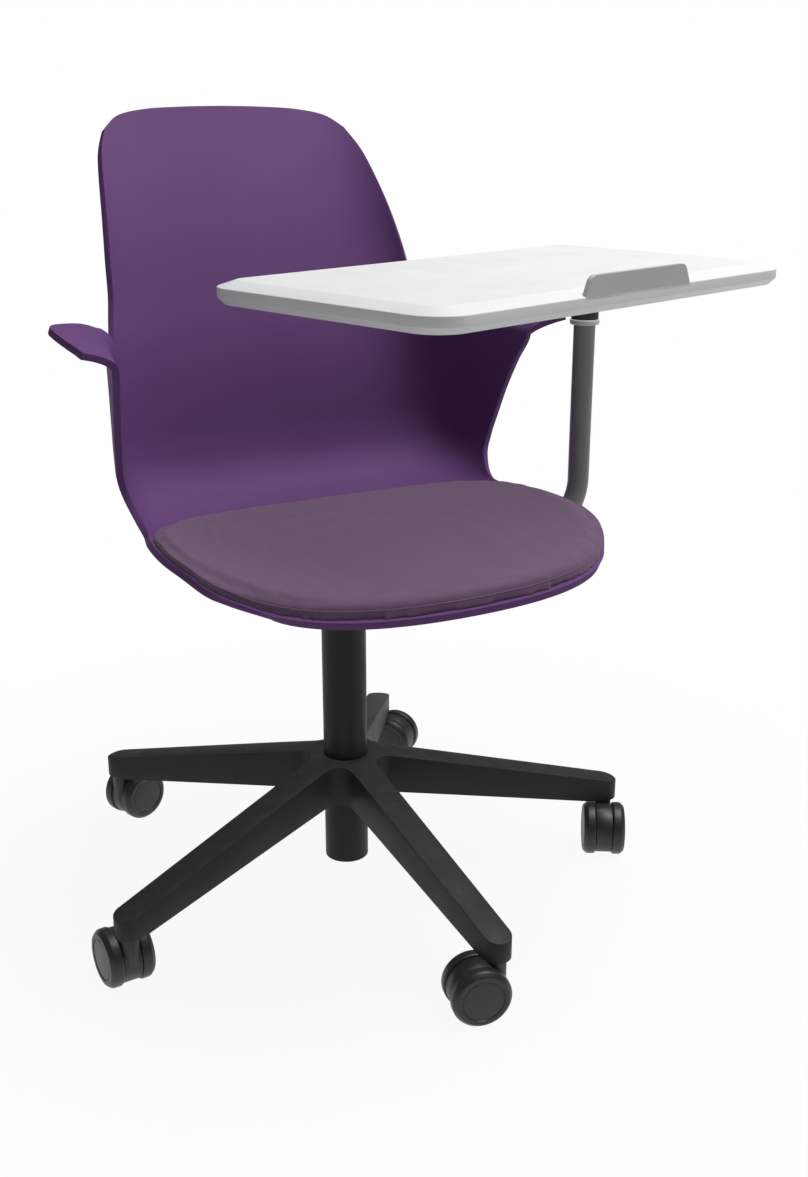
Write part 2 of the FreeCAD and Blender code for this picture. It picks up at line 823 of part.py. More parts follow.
def lever_pin():
    """The pin that the lever tilts on, with a flat head at each end."""
    reach = lever_width / 2 + lever_ear_gap + lever_ear_thickness
    shaft = bar_y(lever_pin_radius, -reach, reach, -lever_pivot_reach, lever_pin_z)
    head = 2 * lever_pin_radius - lever_pin_head / 2
    heads = [bar_y(head, low, low + lever_pin_head, -lever_pivot_reach, lever_pin_z)
             for low in (-reach - lever_pin_head, reach)]
    return shaft.fuse(heads)


def height_lever():
    """Flat bar from the valve pin, under the plate, to the grip."""
    half = lever_width / 2
    body = block(-lever_length_out, lever_inner_end, -half, half, lever_foot, lever_head)
    boss = bar_y(lever_thickness, -half, half, -lever_pivot_reach, lever_pin_z)
    bore_radius = lever_pin_radius + running_gap
    bore = bar_y(bore_radius, -half - overrun, half + overrun, -lever_pivot_reach, lever_pin_z)
    tang = block(-grip_reach + grip_corner, -lever_length_out, -half, half, lever_foot, lever_head)
    return body.fuse([boss, tang]).removeSplitter().cut(bore)


def lever_grip():
    """Moulded paddle over the lever's outer end."""
    half = grip_width / 2
    low = lever_pin_z - grip_height / 2
    inner_end = -grip_reach + grip_length
    neck = half * grip_neck_share
    points = [FreeCAD.Vector(-grip_reach, -half, low), FreeCAD.Vector(inner_end, -neck, low),
              FreeCAD.Vector(inner_end, neck, low), FreeCAD.Vector(-grip_reach, half, low)]
    corners = [2 * grip_corner, grip_corner, grip_corner, 2 * grip_corner]
    outline = Part.Face(rounded_wire(points, corners))
    body = outline.extrude(FreeCAD.Vector(0, 0, grip_height))
    rims = [edge for edge in body.Edges if abs(edge.CenterOfMass.z - low) < plate_gap
            or abs(edge.CenterOfMass.z - low - grip_height) < plate_gap]
    body = body.makeFillet(grip_height / 4, rims)
    pocket = block(-grip_reach + grip_corner, inner_end + overrun, -lever_width / 2, lever_width / 2,
                   lever_foot, lever_head)
    return body.cut(pocket)


save("mechanism_housing", mechanism_housing())
save("shell_bolts", shell_bolts())
save("lever_pin", lever_pin())
save("height_lever", height_lever())
save("lever_grip", lever_grip())


# Tablet arm: a bracket under the plate, and a tube that turns up beside the seat
post_x = seat_half_width + post_seat_gap + post_radius
bend_centre_x = post_x - post_bend_radius
bend_turn = math.radians(post_bend_angle)
bend_end_x = bend_centre_x + post_bend_radius * math.cos(bend_turn)
bend_end_z = post_bend_z - post_bend_radius * math.sin(bend_turn)
slope_run = FreeCAD.Vector(-math.sin(bend_turn), 0, -math.cos(bend_turn))


def arm_path():
    """Centre line of the tube: a sloping run under the seat, one bend, and the upright."""
    length = (bend_end_x - post_end_x) / math.sin(bend_turn)
    bend_end = at(bend_end_x, post_front, bend_end_z)
    inner = bend_end + slope_run * length
    half = bend_turn / 2
    mid = at(bend_centre_x + post_bend_radius * math.cos(half), post_front,
             post_bend_z - post_bend_radius * math.sin(half))
    foot = at(post_x, post_front, post_bend_z)
    edges = [Part.LineSegment(inner, bend_end).toShape(), Part.Arc(bend_end, mid, foot).toShape(),
             Part.LineSegment(foot, at(post_x, post_front, post_top)).toShape()]
    return Part.Wire(edges), inner


def swept_round(radius):
    """A round bar along the arm's path."""
    path, start = arm_path()
    circle = Part.Wire(Part.Circle(start, slope_run * -1, radius).toShape())
    return path.makePipeShell([circle], True, False)


def arm_tube():
    """The bent tube, open at its top for the bush."""
    return swept_round(post_radius).cut(swept_round(post_radius - post_wall))


def arm_bracket():
    """Clamp block under the plate, bored on the slope of the tube."""
    half = bracket_width / 2
    path, start = arm_path()
    middle_x = (bracket_inner_x + bracket_outer_x) / 2
    middle = bend_end_z - (bend_end_x - middle_x) / math.tan(bend_turn)
    low = middle - post_radius - bracket_cover
    body = block(bracket_inner_x, bracket_outer_x, post_front - half, post_front + half,
                 low, plate_z)
    uprights = [edge for edge in body.Edges if edge.BoundBox.ZLength > (plate_z - low) / 2]
    body = body.makeFillet(bracket_cover / 2, uprights)
    socket = Part.makeCylinder(post_radius, bracket_outer_x, start, slope_run * -1)
    holes = [rod(bolt_radius, plate_z - bracket_bolt_depth, plate_z + overrun, x, front)
             for x, front in bracket_bolt_places()]
    return body.cut(Part.makeCompound([socket] + holes))


def bracket_bolts():
    """Two bolts down through the plate into the bracket."""
    bolts = []
    for x, front in bracket_bolt_places():
        shank = rod(bolt_radius, plate_z - bracket_bolt_depth, plate_top, x, front)
        head = rod(bolt_head_radius, plate_top, plate_top + bolt_head_height, x, front)
        bolts.append(shank.fuse(head))
    return Part.makeCompound(bolts)


def post_collar():
    """Light ring clamped round the top of the upright."""
    body = ring(collar_radius, post_radius, collar_z, collar_z + collar_height, post_x, post_front)
    rims = [edge for edge in body.Edges if abs(edge.Length - 2 * math.pi * collar_radius) < running_gap]
    return body.makeChamfer(collar_height / 8, rims)


bush_foot = post_top - bush_length
save("arm_tube", arm_tube())
save("arm_bracket", arm_bracket())
save("bracket_bolts", bracket_bolts())
save("post_collar", post_collar())
bush_bore = spindle_radius + running_gap
save("pivot_bush", ring(post_radius - post_wall, bush_bore, bush_foot, post_top, post_x, post_front))


# Tablet: the pivot below it, its mounting plate and screws, the board and its lip
neck_foot = collar_z + collar_height + plate_gap
turn = math.radians(tablet_turn)
tablet_x = post_x - tablet_post_along * math.cos(turn) - tablet_post_across * math.sin(turn)
tablet_y = -post_front - tablet_post_along * math.sin(turn) + tablet_post_across * math.cos(turn)


def placed(shape, x, y):
    """A copy turned as the tablet is and moved to a place."""
    copy = shape.copy()
    copy.rotate(FreeCAD.Vector(0, 0, 0), FreeCAD.Vector(0, 0, 1), tablet_turn)
    copy.translate(FreeCAD.Vector(x, y, 0))
    return copy


def pivot_neck():
    """Dark housing over the tube's top, with a flange under the mounting plate."""
    cap = rod(neck_radius, neck_foot, plate_underside, post_x, post_front)
    flange_foot = plate_underside - neck_flange_height
    flange = rod(neck_flange_radius, flange_foot, plate_underside, post_x, post_front)
    room_top = post_top + plate_gap
    room = rod(post_radius + running_gap, neck_foot - overrun, room_top, post_x, post_front)
    bore = rod(spindle_radius, post_top, plate_underside + overrun, post_x, post_front)
    return cap.fuse(flange).cut(room).cut(bore)


def pivot_spindle():
    """Pin that turns in the bush."""
    foot = post_top - spindle_length + bush_length / 8
    return rod(spindle_radius, foot, plate_underside, post_x, post_front)


def screw_places():
    """Four screw places on the mounting plate, about the post."""
    a = mount_plate_length / 2 - screw_inset
    b = mount_plate_width / 2 - screw_inset
    return [(-a, -b), (a, -b), (a, b), (-a, b)]


def mount_plate():
    """Steel plate between the pivot and the board."""
    outline = Part.Face(rounded_rectangle(mount_plate_length / 2, mount_plate_width / 2,
                                          mount_plate_corner, plate_underside))
    body = outline.extrude(FreeCAD.Vector(0, 0, mount_plate_thickness))
    holes = [rod(screw_radius, plate_underside - overrun, tablet_underside + overrun, x, -y)
             for x, y in screw_places()]
    return placed(body.cut(Part.makeCompound(holes)), post_x, -post_front)


def tablet_screws():
    """Four screws up through the plate into the board."""
    screws = []
    for x, y in screw_places():
        head = rod(screw_head_radius, plate_underside - screw_head_height, plate_underside, x, -y)
        shank = rod(screw_radius, plate_underside, tablet_underside + screw_depth, x, -y)
        screws.append(head.fuse(shank))
    return placed(Part.makeCompound(screws), post_x, -post_front)


def tablet_top():
    """The board: a lower bevel, an upright band and a wide upper bevel."""
    half_length = tablet_length / 2
    half_width = tablet_width / 2
    band_foot = tablet_underside + tablet_lower_bevel
    rim = band_foot + tablet_band
    levels = [
        (tablet_underside, tablet_lower_inset),
        (band_foot, 0.0),
        (rim, 0.0),
        (rim + tablet_upper_bevel, tablet_upper_inset),
    ]
    wires = [rounded_rectangle(half_length - inset, half_width - inset,
                               tablet_corner_radius - inset, z) for z, inset in levels]
    body = Part.makeLoft(wires, True, True)
    holes = [rod(screw_radius, tablet_underside - overrun, tablet_underside + screw_depth, x, -y)
             for x, y in screw_places()]
    moved = placed(body, tablet_x, tablet_y)
    cut = placed(Part.makeCompound(holes), post_x, -post_front)
    return moved.cut(cut).cut(lip_blank())


def lip_blank():
    """The raised rail that stands on the board's outer edge."""
    edge = -tablet_width / 2
    foot = tablet_underside + tablet_lower_bevel + tablet_band - lip_seat_depth
    base = lip_base_length / 2
    top = lip_top_length / 2
    points = [
        FreeCAD.Vector(lip_offset - base, edge, foot),
        FreeCAD.Vector(lip_offset + base, edge, foot),
        FreeCAD.Vector(lip_offset + top, edge, foot + lip_height),
        FreeCAD.Vector(lip_offset - top, edge, foot + lip_height),
    ]
    small = lip_seat_depth / 4
    outline = Part.Face(rounded_wire(points, [small, small, lip_corner_radius, lip_corner_radius]))
    return placed(outline.extrude(FreeCAD.Vector(0, lip_thickness, 0)), tablet_x, tablet_y)


save("pivot_neck", pivot_neck())
save("pivot_spindle", pivot_spindle())
save("mount_plate", mount_plate())
save("tablet_screws", tablet_screws())
save("tablet_top", tablet_top())
save("tablet_lip", lip_blank())


# Casters: each swivels on a stem in an arm's end and rolls on two wheels
def wheel_profile(side, inner):
    """One wheel about X: round tread, dished outer face and a low cap."""
    outer = inner + wheel_width
    r = wheel_radius
    e = wheel_edge_radius
    tread = bar_x(r, inner, outer, 0.0, 0.0)
    middle = (inner + outer) / 2.0
    rims = [edge for edge in tread.Edges if edge.Closed]
    outer_rims = [edge for edge in rims if edge.CenterOfMass.x > middle]
    body = tread.makeFillet(e, outer_rims)
    inner_rims = [edge for edge in body.Edges if edge.Closed and edge.CenterOfMass.x < middle]
    body = body.makeFillet(e / 3.0, inner_rims)
    body = body.cut(bar_x(wheel_dish_radius, outer - wheel_dish_depth, outer + overrun, 0.0, 0.0))
    cap_foot = outer - 2 * wheel_dish_depth
    cap_top = outer - wheel_dish_depth + wheel_cap_height
    body = body.fuse(bar_x(wheel_cap_radius, cap_foot, cap_top, 0.0, 0.0))
    body = body.cut(bar_x(wheel_bore_radius, inner - overrun, inner + caster_bore_depth, 0.0, 0.0))
    if side < 0:
        body = body.mirror(FreeCAD.Vector(0, 0, 0), FreeCAD.Vector(1, 0, 0))
    return body


def caster_shapes():
    """The five pieces of one caster, with its stem on the Z axis and its axle along X."""
    half = caster_core_width / 2
    core = bar_x(caster_core_radius, -half, half, 0.0, 0.0)
    core = core.common(block(-half, half, -2 * wheel_radius, 2 * wheel_radius,
                             caster_floor_gap - wheel_radius, 2 * wheel_radius))
    core.translate(FreeCAD.Vector(0, caster_trail, wheel_radius))
    neck = rod(caster_neck_radius, wheel_radius, caster_shoulder)
    neck = neck.common(block(-half, half, -caster_trail, 2 * caster_trail, 0.0, caster_shoulder))
    shoulder = rod(caster_neck_radius, 2 * wheel_radius + wheel_side_gap, caster_shoulder)
    body = core.fuse([neck, shoulder])
    body = body.cut(rod(stem_radius, caster_shoulder - stem_buried, caster_shoulder + overrun))
    axle_place = FreeCAD.Vector(0, caster_trail, wheel_radius)
    reach = half + wheel_side_gap + caster_axle_buried
    axle = bar_x(caster_axle_radius, -reach, reach, 0.0, 0.0)
    axle.translate(axle_place)
    body = body.cut(axle)
    wheels = []
    for side in (1, -1):
        wheel = wheel_profile(side, half + wheel_side_gap)
        wheel.translate(axle_place)
        wheels.append(wheel)
    stem = rod(stem_radius, caster_shoulder - stem_buried, socket_roof - plate_gap)
    return {"stem": stem, "body": body, "axle": axle,
            "wheel_left": wheels[0], "wheel_right": wheels[1]}


shapes = caster_shapes()
for index, degrees in enumerate(arm_angles):
    x, y = polar(arm_reach, degrees)
    # The axle trails behind the stem, which is +Y before the caster is turned.
    turn_z = degrees + caster_trail_turn - 90.0
    for name, shape in shapes.items():
        piece = shape.copy()
        piece.rotate(FreeCAD.Vector(0, 0, 0), FreeCAD.Vector(0, 0, 1), turn_z)
        piece.translate(FreeCAD.Vector(x, y, 0))
        save("caster_%d_%s" % (index + 1, name), piece)
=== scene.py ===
# %% [markdown]
# # A swivel chair with a writing tablet
# The chair was built first as exact solids and packed with its joints. This lesson
# dresses that frame: it loads it, makes the surfaces that need a softer or finer
# form than the solids have, gives everything a finish, and sets a small studio.
# Lengths are in metres. Only the profiles of the board, the lip, the ring and the
# wheels, and the arm tube's radius, are written in millimetres and multiplied by mm
# later. +Z is up, -Y is the front, and +X is the sitter's left.

# %% Load the frame
import json
import math

import bmesh
import bpy
import numpy as np
from mathutils import Matrix


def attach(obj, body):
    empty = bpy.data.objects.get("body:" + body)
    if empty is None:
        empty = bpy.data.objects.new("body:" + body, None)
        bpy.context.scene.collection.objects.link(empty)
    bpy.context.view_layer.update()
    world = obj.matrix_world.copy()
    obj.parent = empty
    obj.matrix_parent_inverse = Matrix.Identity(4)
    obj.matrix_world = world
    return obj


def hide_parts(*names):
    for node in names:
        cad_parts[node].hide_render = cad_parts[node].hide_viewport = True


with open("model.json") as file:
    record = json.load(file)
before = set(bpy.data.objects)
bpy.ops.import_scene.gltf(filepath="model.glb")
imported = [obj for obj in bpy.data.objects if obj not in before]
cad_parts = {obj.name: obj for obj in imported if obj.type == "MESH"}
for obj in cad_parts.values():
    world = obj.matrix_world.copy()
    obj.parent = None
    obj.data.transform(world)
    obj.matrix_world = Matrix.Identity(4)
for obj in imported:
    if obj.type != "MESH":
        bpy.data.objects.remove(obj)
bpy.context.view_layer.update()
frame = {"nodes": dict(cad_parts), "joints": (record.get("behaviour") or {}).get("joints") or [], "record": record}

nodes = frame["nodes"]
joints = {joint["name"]: joint for joint in frame["joints"]}
node_body = {node: body for body, members in frame["record"]["behaviour"]["bodies"].items()
             for node in members}
node_slot = {part["node"]: part["material_slot"] for part in frame["record"]["subparts"]}
mm = 0.001
print("nodes:", len(nodes), "joints:", len(joints))

# %% [markdown]
# ## Meshes from arrays
# Every new surface here is a grid of places worked out by numpy in one go, because
# a formula on whole arrays is quick and is easy to change. One helper turns a grid
# into faces, and one turns places and faces into an object that rides on a body.

# %% Grids and pieces

merge_distance = 1e-6


def grid_faces(rows, columns, close_rows=False, close_columns=False, first=0):
    """Quads of a grid: each joins a point to the next column, the next row and both."""
    row = np.arange(rows if close_rows else rows - 1)
    column = np.arange(columns if close_columns else columns - 1)
    row, column = [part.ravel() for part in np.meshgrid(row, column, indexing="ij")]
    next_row = (row + 1) % rows
    next_column = (column + 1) % columns
    corners = [row * columns + column, row * columns + next_column,
               next_row * columns + next_column, next_row * columns + column]
    return np.stack(corners, axis=1) + first


def tidy(mesh):
    """Merge doubles, drop faces without area, and turn the rest outwards."""
    work = bmesh.new()
    work.from_mesh(mesh)
    bmesh.ops.remove_doubles(work, verts=work.verts, dist=merge_distance)
    bmesh.ops.dissolve_degenerate(work, edges=work.edges, dist=merge_distance)
    bmesh.ops.recalc_face_normals(work, faces=work.faces)
    work.to_mesh(mesh)
    work.free()


def piece(name, points, faces, node, sharp=40.0, replaces=True):
    """An object from places and faces, riding where a node rides, and hiding the node it replaces."""
    mesh = bpy.data.meshes.new(name)
    mesh.from_pydata(np.reshape(points, (-1, 3)).tolist(), [], [list(face) for face in faces])
    tidy(mesh)
    mesh.shade_smooth()
    mesh.set_sharp_from_angle(angle=math.radians(sharp))
    item = bpy.data.objects.new(name, mesh)
    bpy.context.scene.collection.objects.link(item)
    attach(item, node_body[node])
    if replaces:
        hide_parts(node)
    return item


def apply_modifiers(item):
    """Put what the modifiers make into the mesh."""
    graph = bpy.context.evaluated_depsgraph_get()
    graph.update()
    made = bpy.data.meshes.new_from_object(item.evaluated_get(graph))
    item.modifiers.clear()
    item.data = made


def rounded_path(corners, radii, steps=6, closed=True):
    """A flat outline whose corners are arcs: each corner gives way to points on its circle."""
    corners = np.asarray(corners, float)
    count = len(corners)
    result = []
    for index in range(count):
        corner = corners[index]
        radius = radii[index]
        if radius <= 0 or (not closed and index in (0, count - 1)):
            result.append(corner[None])
            continue
        before = corners[index - 1] - corner
        after = corners[(index + 1) % count] - corner
        before = before / np.linalg.norm(before)
        after = after / np.linalg.norm(after)
        half = math.acos(np.clip(before @ after, -1, 1)) / 2
        middle = (before + after) / np.linalg.norm(before + after)
        centre = corner + middle * radius / math.sin(half)
        start = corner + before * radius / math.tan(half) - centre
        end = corner + after * radius / math.tan(half) - centre
        turn = math.pi - 2 * half
        share = np.linspace(0, 1, steps + 1)[:, None]
        arc = (start * np.sin((1 - share) * turn) + end * np.sin(share * turn)) / math.sin(turn)
        result.append(centre + arc)
    return np.concatenate(result)


def turned(profile, centre, axis, steps=64):
    """A turned surface: (radius, along) points carried round an axis through a centre."""
    axis = np.asarray(axis, float) / np.linalg.norm(axis)
    helper = np.array([0.0, 0.0, 1.0]) if abs(axis[2]) < 0.9 else np.array([1.0, 0.0, 0.0])
    side = np.cross(axis, helper)
    side /= np.linalg.norm(side)
    other = np.cross(axis, side)
    angle = np.linspace(0, 2 * math.pi, steps, endpoint=False)
    ring = np.cos(angle)[:, None] * side + np.sin(angle)[:, None] * other
    profile = np.asarray(profile, float)
    points = (np.asarray(centre, float) + profile[:, None, 1:] * axis
              + profile[:, None, :1] * ring[None])
    return points, grid_faces(len(profile), steps, close_columns=True)


def tube(path, radius, steps=24, closed=False, across=(0.0, 1.0, 0.0)):
    """A round tube: circles square to a path, lined up by a direction it never takes."""
    path = np.asarray(path, float)
    if closed:
        tangent = np.roll(path, -1, 0) - np.roll(path, 1, 0)
    else:
        tangent = np.gradient(path, axis=0)
    tangent /= np.linalg.norm(tangent, axis=1)[:, None]
    side = np.cross(tangent, across)
    side /= np.linalg.norm(side, axis=1)[:, None]
    other = np.cross(tangent, side)
    angle = np.linspace(0, 2 * math.pi, steps, endpoint=False)
    ring = (np.cos(angle)[None, :, None] * side[:, None]
            + np.sin(angle)[None, :, None] * other[:, None])
    points = path[:, None] + radius * ring
    faces = grid_faces(len(path), steps, closed, close_columns=True).tolist()
    if not closed:
        faces.append(list(range(steps)))
        faces.append([len(path) * steps - steps + k for k in range(steps)])
    return points.reshape(-1, 3), faces


def stacked(outlines):
    """A solid from outlines of as many points each, joined in order and closed by flat ends."""
    levels = np.asarray(outlines, float)
    rows, columns = levels.shape[:2]
    faces = grid_faces(rows, columns, close_columns=True).tolist()
    faces.append(list(range(columns)))
    faces.append([(rows - 1) * columns + k for k in range(columns)])
    return levels.reshape(-1, 3), faces


# %% [markdown]
# ## Shader arithmetic
# A finish is easier to read as a sum than as a row of Math nodes. The small class
# below wraps a socket, so that `1 - grain * 0.2` adds the nodes for us.

# %% Sockets that can be added and multiplied


class Amount:
    """A number that changes over a surface, as a shader socket with operators."""

    def __init__(self, finish, socket):
        self.finish = finish
        self.socket = socket

    def math(self, operation, first, second):
        """A Math node on two amounts or numbers."""
        return self.finish.node("ShaderNodeMath", {"operation": operation}, {0: first, 1: second})

    def __add__(self, other):
        return self.math("ADD", self, other)

    __radd__ = __add__

    def __sub__(self, other):
        return self.math("SUBTRACT", self, other)

    def __rsub__(self, other):
        return self.math("SUBTRACT", other, self)

    def __mul__(self, other):
        return self.math("MULTIPLY", self, other)

    __rmul__ = __mul__

    def clamped(self):
        """The same amount, held between 0 and 1."""
        return self.math("MINIMUM", self.math("MAXIMUM", self, 0.0), 1.0)


def paint(red, green, blue):
    """A colour given in 0 to 255, as the shader's linear values."""
    values = [v / 255 for v in (red, green, blue)]
    return tuple(v / 12.92 if v <= 0.04045 else ((v + 0.055) / 1.055) ** 2.4
                 for v in values) + (1.0,)


class Finish:
    """One material, with one method for any node and short names for common ones."""

    def __init__(self, name, roughness=0.5, metallic=0.0, **constants):
        self.material = bpy.data.materials.new(name)
        self.material.use_nodes = True
        self.tree = self.material.node_tree
        self.shader = self.tree.nodes["Principled BSDF"]
        self.shader.inputs["Roughness"].default_value = roughness
        self.shader.inputs["Metallic"].default_value = metallic
        for socket, value in constants.items():
            self.shader.inputs[socket.replace("_", " ")].default_value = value
        self.place = self.node("ShaderNodeTexCoord", {}, {}, "Object")

    def node(self, kind, settings=None, inputs=None, output=0):
        """Adds a node: its settings first, then the values or links of its sockets."""
        made = self.tree.nodes.new(kind)
        for key, value in (settings or {}).items():
            setattr(made, key, value)
        for key, value in (inputs or {}).items():
            if isinstance(value, Amount):
                self.tree.links.new(value.socket, made.inputs[key])
            else:
                made.inputs[key].default_value = value
        return Amount(self, made.outputs[output])

    def noise(self, scale, detail=3.0, roughness=0.5, where=None):
        """Cloudy noise, whose blotches are about 1/scale metres across."""
        inputs = {"Vector": where or self.place, "Scale": scale, "Detail": detail,
                  "Roughness": roughness}
        return self.node("ShaderNodeTexNoise", {}, inputs, "Fac")

    def ramp(self, amount, low, high):
        """0 below low, 1 above high, and a straight line between."""
        return ((amount - low) * (1.0 / (high - low))).clamped()

    def blend(self, share, first, second):
        """One colour to another by a share."""
        inputs = {0: share, 6: first, 7: second}
        return self.node("ShaderNodeMix", {"data_type": "RGBA"}, inputs, 2)

    def part(self, axis, where=None):
        """One coordinate of a place."""
        return self.node("ShaderNodeSeparateXYZ", {}, {0: where or self.place}, "XYZ".index(axis))

    def relief(self, height, distance, strength=1.0):
        """A bump whose rise is the height times a distance in metres."""
        inputs = {"Height": height, "Distance": distance, "Strength": strength}
        return self.node("ShaderNodeBump", {}, inputs, "Normal")

    def set(self, **sockets):
        """Link amounts to the shader's sockets."""
        for name, value in sockets.items():
            self.tree.links.new(value.socket, self.shader.inputs[name.replace("_", " ")])


# %% [markdown]
# ## Finishes
# The shell is moulded plastic with a fine spark grain. Its tone drifts slowly
# between two close shades and follows the grain a little, the grain stands up in
# the bump, and the gloss changes from place to place. The same three ideas serve
# the other plastics and paints.

# %% Moulded plastics and paints


def moulded(name, colour, light, roughness, grain_scale, grain_height, drift_scale=7.0,
            dust=0.0, **constants):
    """Plastic or paint: slow drift between two tones, fine grain, and dust on what faces up."""
    finish = Finish(name, roughness, **constants)
    drift = finish.ramp(finish.noise(drift_scale, 2.0), 0.3, 0.7)
    grain = finish.noise(grain_scale, 2.0, 0.6)
    tone = finish.blend(drift * 0.75 + grain * 0.25, colour, light)
    if dust:
        up = finish.node("ShaderNodeNewGeometry", {}, {}, "Normal")
        facing = finish.ramp(finish.part("Z", up), 0.6, 1.0)
        specks = finish.ramp(finish.noise(60.0, 6.0, 0.7), 0.45, 0.75)
        tone = finish.blend(facing * specks * dust, tone, paint(120, 118, 114))
    smudge = finish.ramp(finish.noise(22.0, 4.0, 0.6), 0.35, 0.7)
    finish.set(Base_Color=tone, Roughness=smudge * 0.08 + grain * 0.06 + (roughness - 0.06),
               Normal=finish.relief(grain, grain_height))
    return finish.material


shell_purple = moulded("shell_purple_plastic", paint(98, 65, 114), paint(104, 70, 120),
                       0.58, 1500.0, 0.00012, Specular_IOR_Level=0.08)
base_black = moulded("base_black_plastic", paint(38, 38, 37), paint(43, 43, 42),
                     0.55, 1300.0, 0.00012, dust=0.08, Specular_IOR_Level=0.25)
column_black = moulded("column_black_paint", paint(38, 38, 38), paint(42, 42, 42),
                       0.50, 700.0, 0.00003, Specular_IOR_Level=0.2)
caster_black = moulded("caster_black_plastic", paint(32, 32, 32), paint(37, 37, 37),
                       0.45, 1500.0, 0.00008, dust=0.08)
wheel_black = moulded("wheel_black_nylon", paint(33, 33, 33), paint(38, 38, 38),
                      0.42, 1100.0, 0.00006, drift_scale=30.0)
arm_grey = moulded("arm_grey_powder_coat", paint(114, 114, 114), paint(120, 120, 120),
                   0.42, 900.0, 0.00008)
mechanism_black = moulded("mechanism_black_paint", paint(30, 30, 31), paint(36, 36, 37),
                          0.55, 800.0, 0.00010)
collar_grey = moulded("collar_light_grey_plastic", paint(194, 195, 194), paint(201, 202, 201),
                      0.40, 1300.0, 0.00006)
lip_grey = moulded("lip_grey_plastic", paint(184, 188, 186), paint(190, 194, 192),
                   0.42, 1400.0, 0.00006)
bush_white = moulded("bush_white_plastic", paint(205, 204, 196), paint(214, 213, 206),
                     0.40, 900.0, 0.00004)
print("moulded finishes made")

# %% [markdown]
# The board has a light laminate with a barely seen fleck. Its bevels are the same
# stuff, so one finish covers it. It is paler than the lip, which tells the two
# apart, and its gloss is kept low.

# %% Laminate and metal

laminate = Finish("tablet_light_laminate", 0.46, Specular_IOR_Level=0.25)
fleck_share = 0.35
fleck = laminate.ramp(laminate.noise(1900.0, 2.0, 0.7), 0.56, 0.70)
cloud = laminate.ramp(laminate.noise(9.0, 3.0), 0.3, 0.7)
pale = laminate.blend(cloud, paint(224, 227, 225), paint(228, 231, 229))
handled = laminate.ramp(laminate.noise(35.0, 4.0, 0.6), 0.3, 0.7)
laminate.set(Base_Color=laminate.blend(fleck * fleck_share, pale, paint(194, 197, 196)),
             Roughness=handled * 0.10 + 0.42,
             Normal=laminate.relief(laminate.noise(2400.0, 2.0), 0.00003))
tablet_laminate = laminate.material


def metal(name, colour, roughness, stretch):
    """Bare metal, with fine lines drawn out along one direction."""
    finish = Finish(name, roughness, 1.0)
    lines = finish.node("ShaderNodeMapping", {}, {"Vector": finish.place, "Scale": stretch})
    scratch = finish.noise(1.0, 4.0, 0.6, lines)
    bright = tuple(min(1.0, value * 1.2) for value in colour[:3]) + (1.0,)
    finish.set(Base_Color=finish.blend(scratch, colour, bright),
               Roughness=scratch * 0.18 + (roughness - 0.09),
               Normal=finish.relief(scratch, 0.00002))
    return finish.material


zinc_steel = metal("zinc_plated_steel", paint(168, 170, 174), 0.36, (900.0, 900.0, 200.0))
polished_rod = metal("polished_rod_steel", paint(205, 206, 210), 0.14, (300.0, 300.0, 2500.0))
print("laminate and metals made")

# %% [markdown]
# The pad wears a fine woven cloth of two close shades. Sine waves crossed at a
# right angle give the weave, and a bent copy of the place keeps it from looking
# ruled. The sheen stands for the short fibres that catch light at a low angle.

# %% Upholstery cloth

thread_pitch = 1.5 * mm
cloth = Finish("cushion_mauve_cloth", 0.88, Sheen_Weight=0.12, Sheen_Roughness=0.5,
               Specular_IOR_Level=0.1)
wobble = cloth.noise(240.0, 2.0)


def threads(axis):
    """Waves along one axis, one for each thread, a little out of true."""
    phase = cloth.part(axis) * (2 * math.pi / thread_pitch) + wobble * 2.0
    return cloth.node("ShaderNodeMath", {"operation": "SINE"}, {0: phase}) * 0.5 + 0.5


warp = threads("X")
weft = threads("Y")
rise = threads("Z")
weave = (warp * weft + (1 - warp) * (1 - weft)) * 0.7 + rise * 0.15
fibre = cloth.noise(700.0, 3.0, 0.7)
shade = cloth.ramp(cloth.noise(38.0, 4.0, 0.65), 0.3, 0.7)
cloth_tone = cloth.blend(weave * 0.55 + fibre * 0.45, paint(90, 70, 93), paint(126, 103, 128))
cloth_tone = cloth.blend(shade * 0.25, cloth_tone, paint(105, 84, 107))
cloth.set(Base_Color=cloth_tone,
          Normal=cloth.relief(weave * 0.8 + fibre * 0.4, 0.0004, 0.6))
cushion_cloth = cloth.material
print("cloth made")

# %% [markdown]
# The record gives each node a slot, which names its stuff. One table turns a slot
# into a finish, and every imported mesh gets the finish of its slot.

# %% A finish for every slot

slot_material = {
    "shell_plastic": shell_purple,
    "cushion_fabric": cushion_cloth,
    "tablet_laminate": tablet_laminate,
    "lip_plastic": lip_grey,
    "arm_paint": arm_grey,
    "collar_plastic": collar_grey,
    "base_plastic": base_black,
    "column_paint": column_black,
    "mechanism_paint": mechanism_black,
    "black_plastic": caster_black,
    "wheel_plastic": wheel_black,
    "bush_plastic": bush_white,
    "polished_rod": polished_rod,
    "steel": zinc_steel,
}


def wear(item, slot):
    """Give an object the finish of a slot, in its first material slot only."""
    item.data.materials.clear()
    item.data.materials.append(slot_material[slot])


for node, item in nodes.items():
    for place in item.material_slots:
        place.link = "OBJECT"
        place.material = slot_material[node_slot[node]]
    if not item.material_slots:
        wear(item, node_slot[node])
print("slots:", len(slot_material))

